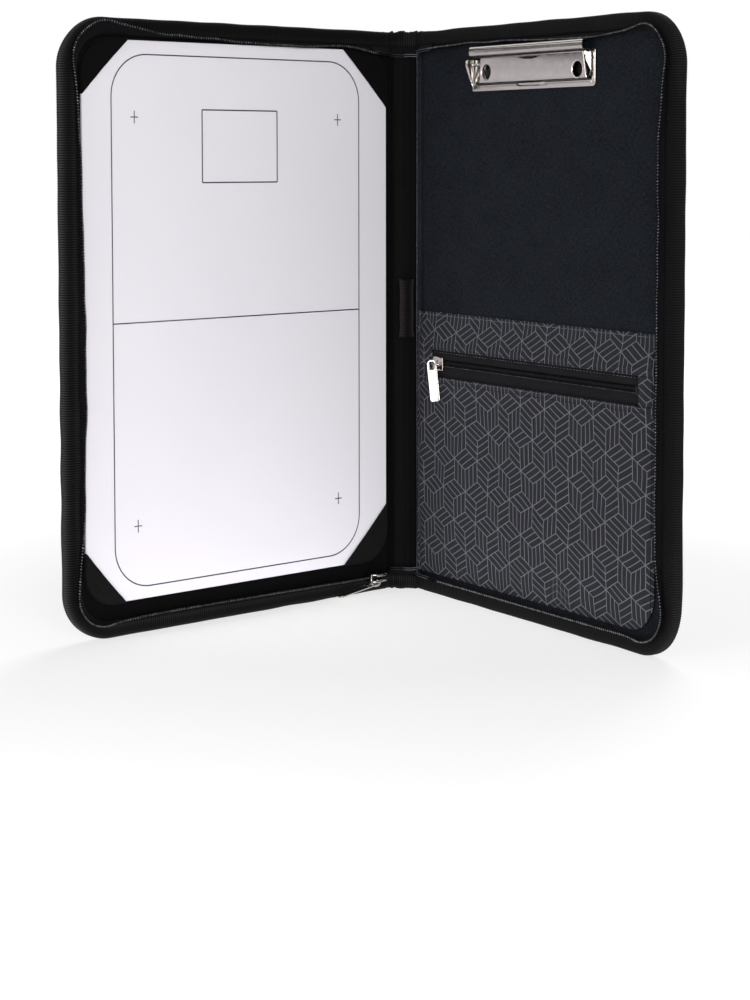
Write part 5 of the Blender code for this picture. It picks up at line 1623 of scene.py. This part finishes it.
def bearing_ear(end, way, lean):
    """An ear turned up from the end of the base plate round a bend, leaning in over the plate."""
    height = steps(EAR_LINE[0][0], EAR_LINE[-1][0], 0.4) * MM
    stand = np.interp(height, *(np.array(EAR_LINE).T * MM))
    full = math.pi / 2 + lean
    bend_top = EAR_BEND * (1 - math.cos(full))
    reached = np.arccos(1 - np.minimum(stand, bend_top) / EAR_BEND)
    length = EAR_BEND * reached + np.maximum(stand - bend_top, 0) / math.cos(lean)
    run = length[:, None] * np.linspace(0, 1, 20)
    angle = np.minimum(run / EAR_BEND, full)
    straight = np.maximum(run - EAR_BEND * full, 0)
    inset = EAR_BEND * (1 - np.sin(angle)) + straight * math.sin(lean)
    rise = 0.06 * MM + EAR_BEND * (1 - np.cos(angle)) + straight * math.cos(lean)
    height = np.broadcast_to(height[:, None], run.shape)
    outer = fold(BACK, end + way * inset, ON_LINING + rise, PIVOT_HEIGHT + height)
    inset, rise = inset + BASE_SHEET * np.sin(angle), rise + BASE_SHEET * np.cos(angle)
    inner = fold(BACK, end + way * inset, ON_LINING + rise, PIVOT_HEIGHT + height)
    share = np.broadcast_to(np.linspace(0, 10 * MM, run.shape[1]), run.shape)
    return slab("ear", outer, inner, np.stack([height, share], -1), EAR_METAL[way])


def clip_base():
    """The base plate with its two bearing ears, softened at every edge, and the washers on it."""
    low = (BASE_LOW[0], BASE_LOW[2] + 0.9 * MM)
    outline = rounded(low, BASE_HIGH[::2], 5, 2.0 * MM, 2.0 * MM, 0.8 * MM, 0.8 * MM)
    place = cover_matrix(BACK, 0, ON_LINING + BASE_SHEET / 2, 0)
    made = joined("clip_base_metal", [
        plate("base", [outline], BASE_SHEET, NICKEL, place),
        bearing_ear(BASE_LOW[0] + 0.1 * MM, 1, 0.15),
        bearing_ear(BASE_HIGH[0] - 0.5 * MM, -1, 0.38),
    ])
    made.data.set_sharp_from_angle(angle=math.radians(45))
    ride(made, BACK, "nickel", "clip_base_plate")
    ring = arc((0, 0), 6.2 * MM, 0, 351, 39)
    washers = []
    for reach, height in HOLES.values():
        place = cover_matrix(BACK, reach, ON_LINING + BASE_SHEET + 0.15 * MM, height)
        washers.append(plate("washer", [ring], 0.25 * MM, FIBRE, place, 0.08 * MM))
    made = joined("clip_fibre_washers", washers)
    ride(made, BACK, "spring_steel")


# Sliders and pulls
SLIDER_LENGTH = 11 * MM
SLIDER_WIDTH = 9 * MM


def slider_outline():
    """Half-round nose, drawn-in waist and square tail of a slider's plate."""
    half = SLIDER_LENGTH / 2
    right = []
    for share in np.linspace(0, 1, 13):
        nose = 0.80 + 0.20 * smoothstep(share * 1.6)
        tail = 1 - 0.35 * smoothstep((share - 0.78) / 0.22) ** 2
        right.append((SLIDER_LENGTH * share - half, SLIDER_WIDTH / 2 * nose * tail))
    one = round_bends([(0.4 * MM - half, 0)] + right + [(half, 0)], 0.2 * MM).tolist()[1:-1]
    return one + [(x, -y) for x, y in reversed(right)]


def slider(name, node, body, matrix, coil_height):
    """A zipper slider: two plates joined by a post, turned lips, and the arch that holds the pull."""
    half, inner, thick = SLIDER_LENGTH / 2, coil_height / 2 + 0.3 * MM, 0.9 * MM
    outer = inner + thick
    outline = slider_outline()
    lip_low, lip_high = min(0.9 * MM, inner - 0.45 * MM), inner + 0.3 * MM
    members = []
    for way in (1, -1):
        place = matrix @ Matrix.Translation((0, 0, way * (inner + thick / 2)))
        members.append(plate("wing", [outline], thick, NICKEL, place, 0.3 * MM, 3))
        place = matrix @ Matrix.Translation((0, 0, way * (lip_low + lip_high) / 2))
        for across in (1, -1):
            middle = across * (SLIDER_WIDTH / 2 - 0.9 * MM)
            low, high = (0.8 * MM - half, middle - 0.4 * MM), (half - 3 * MM, middle + 0.4 * MM)
            lip = rounded(low, high, 3, 0.3 * MM)
            members.append(plate("lip", [lip], lip_high - lip_low, NICKEL, place, 0.12 * MM))
    post = rounded((half - 4.2 * MM, -0.6 * MM), (half - 0.9 * MM, 0.6 * MM), 4, 0.5 * MM)
    members.append(plate("post", [post], 2 * inner + 0.6 * MM, NICKEL, matrix, 0.1 * MM))
    # The arch over the upper plate, by millimetres along the slider and above the plate's face
    arch = (
        (-3.0, -0.3), (-3.0, 0.9), (-2.2, 2.45), (0, 2.65), (2.2, 2.45), (2.9, 0.9), (2.9, -0.3),
    )
    line = round_bends([(x * MM, outer + z * MM) for x, z in arch], 0.8 * MM)
    points = np.array([matrix @ Vector((x, 0, z)) for x, z in line])
    across = np.array(matrix.col[1].xyz)
    members.append(rod("arch", points, 0.4 * MM, NICKEL, sides=12, width=0.95 * MM, flat_way=across))
    made = joined(name, members)
    ride(made, body, "nickel", node)
    return outer


def pull(name, node, body, matrix, length, bar_at):
    """A flat pull: rounded head with a slot for the arch, and a shallow field in its face."""
    half, thick = 3.1 * MM, 1.0 * MM
    head = bar_at - 1.2 * MM
    foot = head + length
    outline = rounded((head, -half), (foot, half), 8, 2.8 * MM, 1.6 * MM, 1.6 * MM, 2.8 * MM)
    slot = rounded((bar_at, -1.7 * MM), (bar_at + 5 * MM, 1.7 * MM), 6, 1.0 * MM)
    members = [plate("pull_plate", [outline, slot], thick, NICKEL, matrix, 0.28 * MM, 4)]
    inside = half - 0.9 * MM
    field = rounded((bar_at + 7 * MM, -inside), (foot - 1.2 * MM, inside), 6, 0.9 * MM)
    flat_way = np.array(matrix.col[2].xyz)
    for way in (1, -1):
        line = np.array([matrix @ Vector((x, y, way * thick / 2)) for x, y in field + field[:1]])
        members.append(rod("pull_field", line, 0.10 * MM, NICKEL, sides=6, flat_way=flat_way))
    made = joined(name, members)
    ride(made, body, "nickel", node)


def turned_about(matrix, axis, degrees, shift=(0, 0, 0)):
    """A frame moved and then turned about one of its own axes."""
    return matrix @ Matrix.Translation(shift) @ Matrix.Rotation(math.radians(degrees), 4, axis)


def frame_matrix(x_way, z_way, place):
    """A frame from its X and Z ways and its origin."""
    x_way, z_way = Vector(x_way).normalized(), Vector(z_way).normalized()
    made = Matrix.Identity(4)
    for column, axis in enumerate((x_way, z_way.cross(x_way), z_way)):
        made.col[column].xyz = axis
    made.col[3].xyz = Vector(place)
    return made


# The pocket pull hangs turned on its length, its foot a little off the cloth, in degrees
PULL_TWIST = -38
PULL_TILT = -1.5
# Height of the main zipper's middle plane where the slider runs
TAPE_PLANE = 10.3 * MM


def sliders():
    """Both sliders on their coils, each with its pull."""
    low, high = cover_box("pocket_slider", BACK)
    middle = (low + high) / 2
    coil_depth = sum(corner[1] for corner in cover_box("pocket_zipper_teeth_upper", BACK)) / 2
    place = CREASE[BACK] + middle[0] * ALONG[BACK] + coil_depth * INTO[BACK] + middle[2] * UP
    matrix = frame_matrix(-ALONG[BACK], INTO[BACK], place)
    outer = slider("pocket_slider_metal", "pocket_slider", "pocket_zip_slider", matrix, 1.6 * MM)
    hanging = turned_about(matrix, "Z", 102, (2.7 * MM, 0, outer + 2.2 * MM))
    hanging = turned_about(turned_about(hanging, "Y", PULL_TILT), "X", PULL_TWIST)
    pull("pocket_pull_metal", "pocket_pull_tab", "pocket_zip_pull", hanging, 26 * MM, -1.2 * MM)
    low, high = cover_box("main_slider", FRONT)
    middle = (low + high) / 2
    place = CREASE[FRONT] + middle[0] * ALONG[FRONT] + HALF_SPINE * INTO[FRONT] + TAPE_PLANE * UP
    matrix = frame_matrix(ALONG[FRONT], -UP, place)
    outer = slider("main_slider_metal", "main_slider", "main_zip_slider", matrix, 2.8 * MM)
    lying = turned_about(matrix, "Y", -8, (0, 0, outer + 1.35 * MM))
    pull("main_pull_metal", "main_pull_tab", "main_zip_pull", lying, 32 * MM, 0.6 * MM)


# Pieces
for side in SIDES:
    outer_cloth(side)
    padding(side)
    lining(side)
    spine_lining(side)
    binding(side)
    main_zipper(side)
    zipper_ends(side)
    look_of(SIDES[side] + "_stiffener", STIFF)
spine_padding()
board()
for outer_side in (True, False):
    for top in (True, False):
        corner_pocket(outer_side, top)
webbing()
document_pocket()
pocket_zipper()
pen_loop()
clip_base()
clip_jaw()
sliders()
look_of("clip_pivot_pin", NICKEL)
# Near-black rivets make the jaw's holes read dark; the pocket zipper's stop is near-black too
for node in ("clip_rivet_spine_side", "clip_rivet_outer_side", "pocket_zipper_stop"):
    look_of(node, DARK_METAL)
for node in ("clip_spring_spine_side", "clip_spring_outer_side"):
    look_of(node, STEEL)


# Studio
def seen_share(tree):
    """1 for rays that show the background: from the camera, in reflections and through glass."""
    seen, mirrored, through = (
        tree.node("LightPath", output=f"Is {kind} Ray") for kind in ("Camera", "Glossy", "Transmission")
    )
    return tree.math("MAXIMUM", tree.math("MAXIMUM", seen, mirrored), through)


def studio_floor():
    """A pale matt floor that shows white away from the object and keeps its soft shadow."""
    look = bpy.data.materials.new("floor")
    tree = Tree(look)
    tree.nodes.clear()
    place = tree.node("NewGeometry")
    away = tree.node("VectorMath", place, operation="LENGTH", output=1)
    glow = tree.node("MapRange", away, 0.22, 0.70, 0.68, 1.0)
    # Painted light: a glow only diffuse light meets, strongest near the object, lights the folder from
    # below
    bounce = tree.node("MapRange", away, 0.2, 0.7, 1.2, 0.0)
    grain = tree.node("MapRange", tree.node("TexNoise", place, None, 3.0), 0.0, 1.0, 0.42, 0.46)
    lit, seen = (
        tree.node("AddShader", tree.node("Emission", None, strength), tree.node("BsdfDiffuse", colour))
        for strength, colour in ((bounce, (0.8, 0.8, 0.8, 1)), (glow, grain))
    )
    tree.node("OutputMaterial", tree.node("MixShader", seen_share(tree), lit, seen))
    bm = bmesh.new()
    bmesh.ops.create_circle(bm, cap_ends=True, segments=96, radius=6.0)
    mesh = bpy.data.meshes.new("floor")
    bm.to_mesh(mesh)
    bm.free()
    mesh.materials.append(look)
    floor = add_object("floor", mesh)
    floor.location.z = -0.4 * MM


def studio_world():
    """Even soft light, seen as white."""
    world = bpy.data.worlds.new("studio")
    bpy.context.scene.world = world
    tree = Tree(world)
    tree.nodes.clear()
    soft, white = (tree.node("Background", (1, 1, 1, 1), strength) for strength in (0.13, 1.0))
    tree.node("OutputWorld", tree.node("MixShader", seen_share(tree), soft, white))


def lamp(name, place, power, size):
    """A round soft light aimed at the folder's middle."""
    light = bpy.data.lights.new(name, "AREA")
    light.shape = "DISK"
    light.size = size
    light.energy = power
    made = add_object(name, light)
    made.location = place
    made.rotation_euler = (Vector(MIDDLE) - Vector(place)).to_track_quat("-Z", "Y").to_euler()


def camera():
    """The camera fitted to the corners of the folder; its angles are in degrees."""
    place = (0.15587, -1.29726, 0.26942)
    yaw, pitch, roll = (math.radians(angle) for angle in (7.685, -3.802, 0.064))
    data = bpy.data.cameras.new("camera")
    data.sensor_width = 36.0
    data.lens = 74.87
    data.shift_y = -0.2
    made = add_object("camera", data)
    turn = Matrix.Rotation(yaw, 4, "Z") @ Matrix.Rotation(pitch, 4, "X") @ Matrix.Rotation(roll, 4, "Y")
    made.matrix_world = Matrix.Translation(place) @ turn @ Matrix.Rotation(math.pi / 2, 4, "X")
    bpy.context.scene.camera = made


MIDDLE = (0.0, -0.1, 0.17)
studio_floor()
studio_world()
lamp("front", (1.25, -3.6, 0.4), 146, 2.4)
lamp("left", (-1.3, -1.5, 0.5), 11, 1.2)
lamp("rear", (0.3, 1.5, 1.4), 22, 1.2)
camera()
bpy.context.scene.view_settings.view_transform = "Standard"
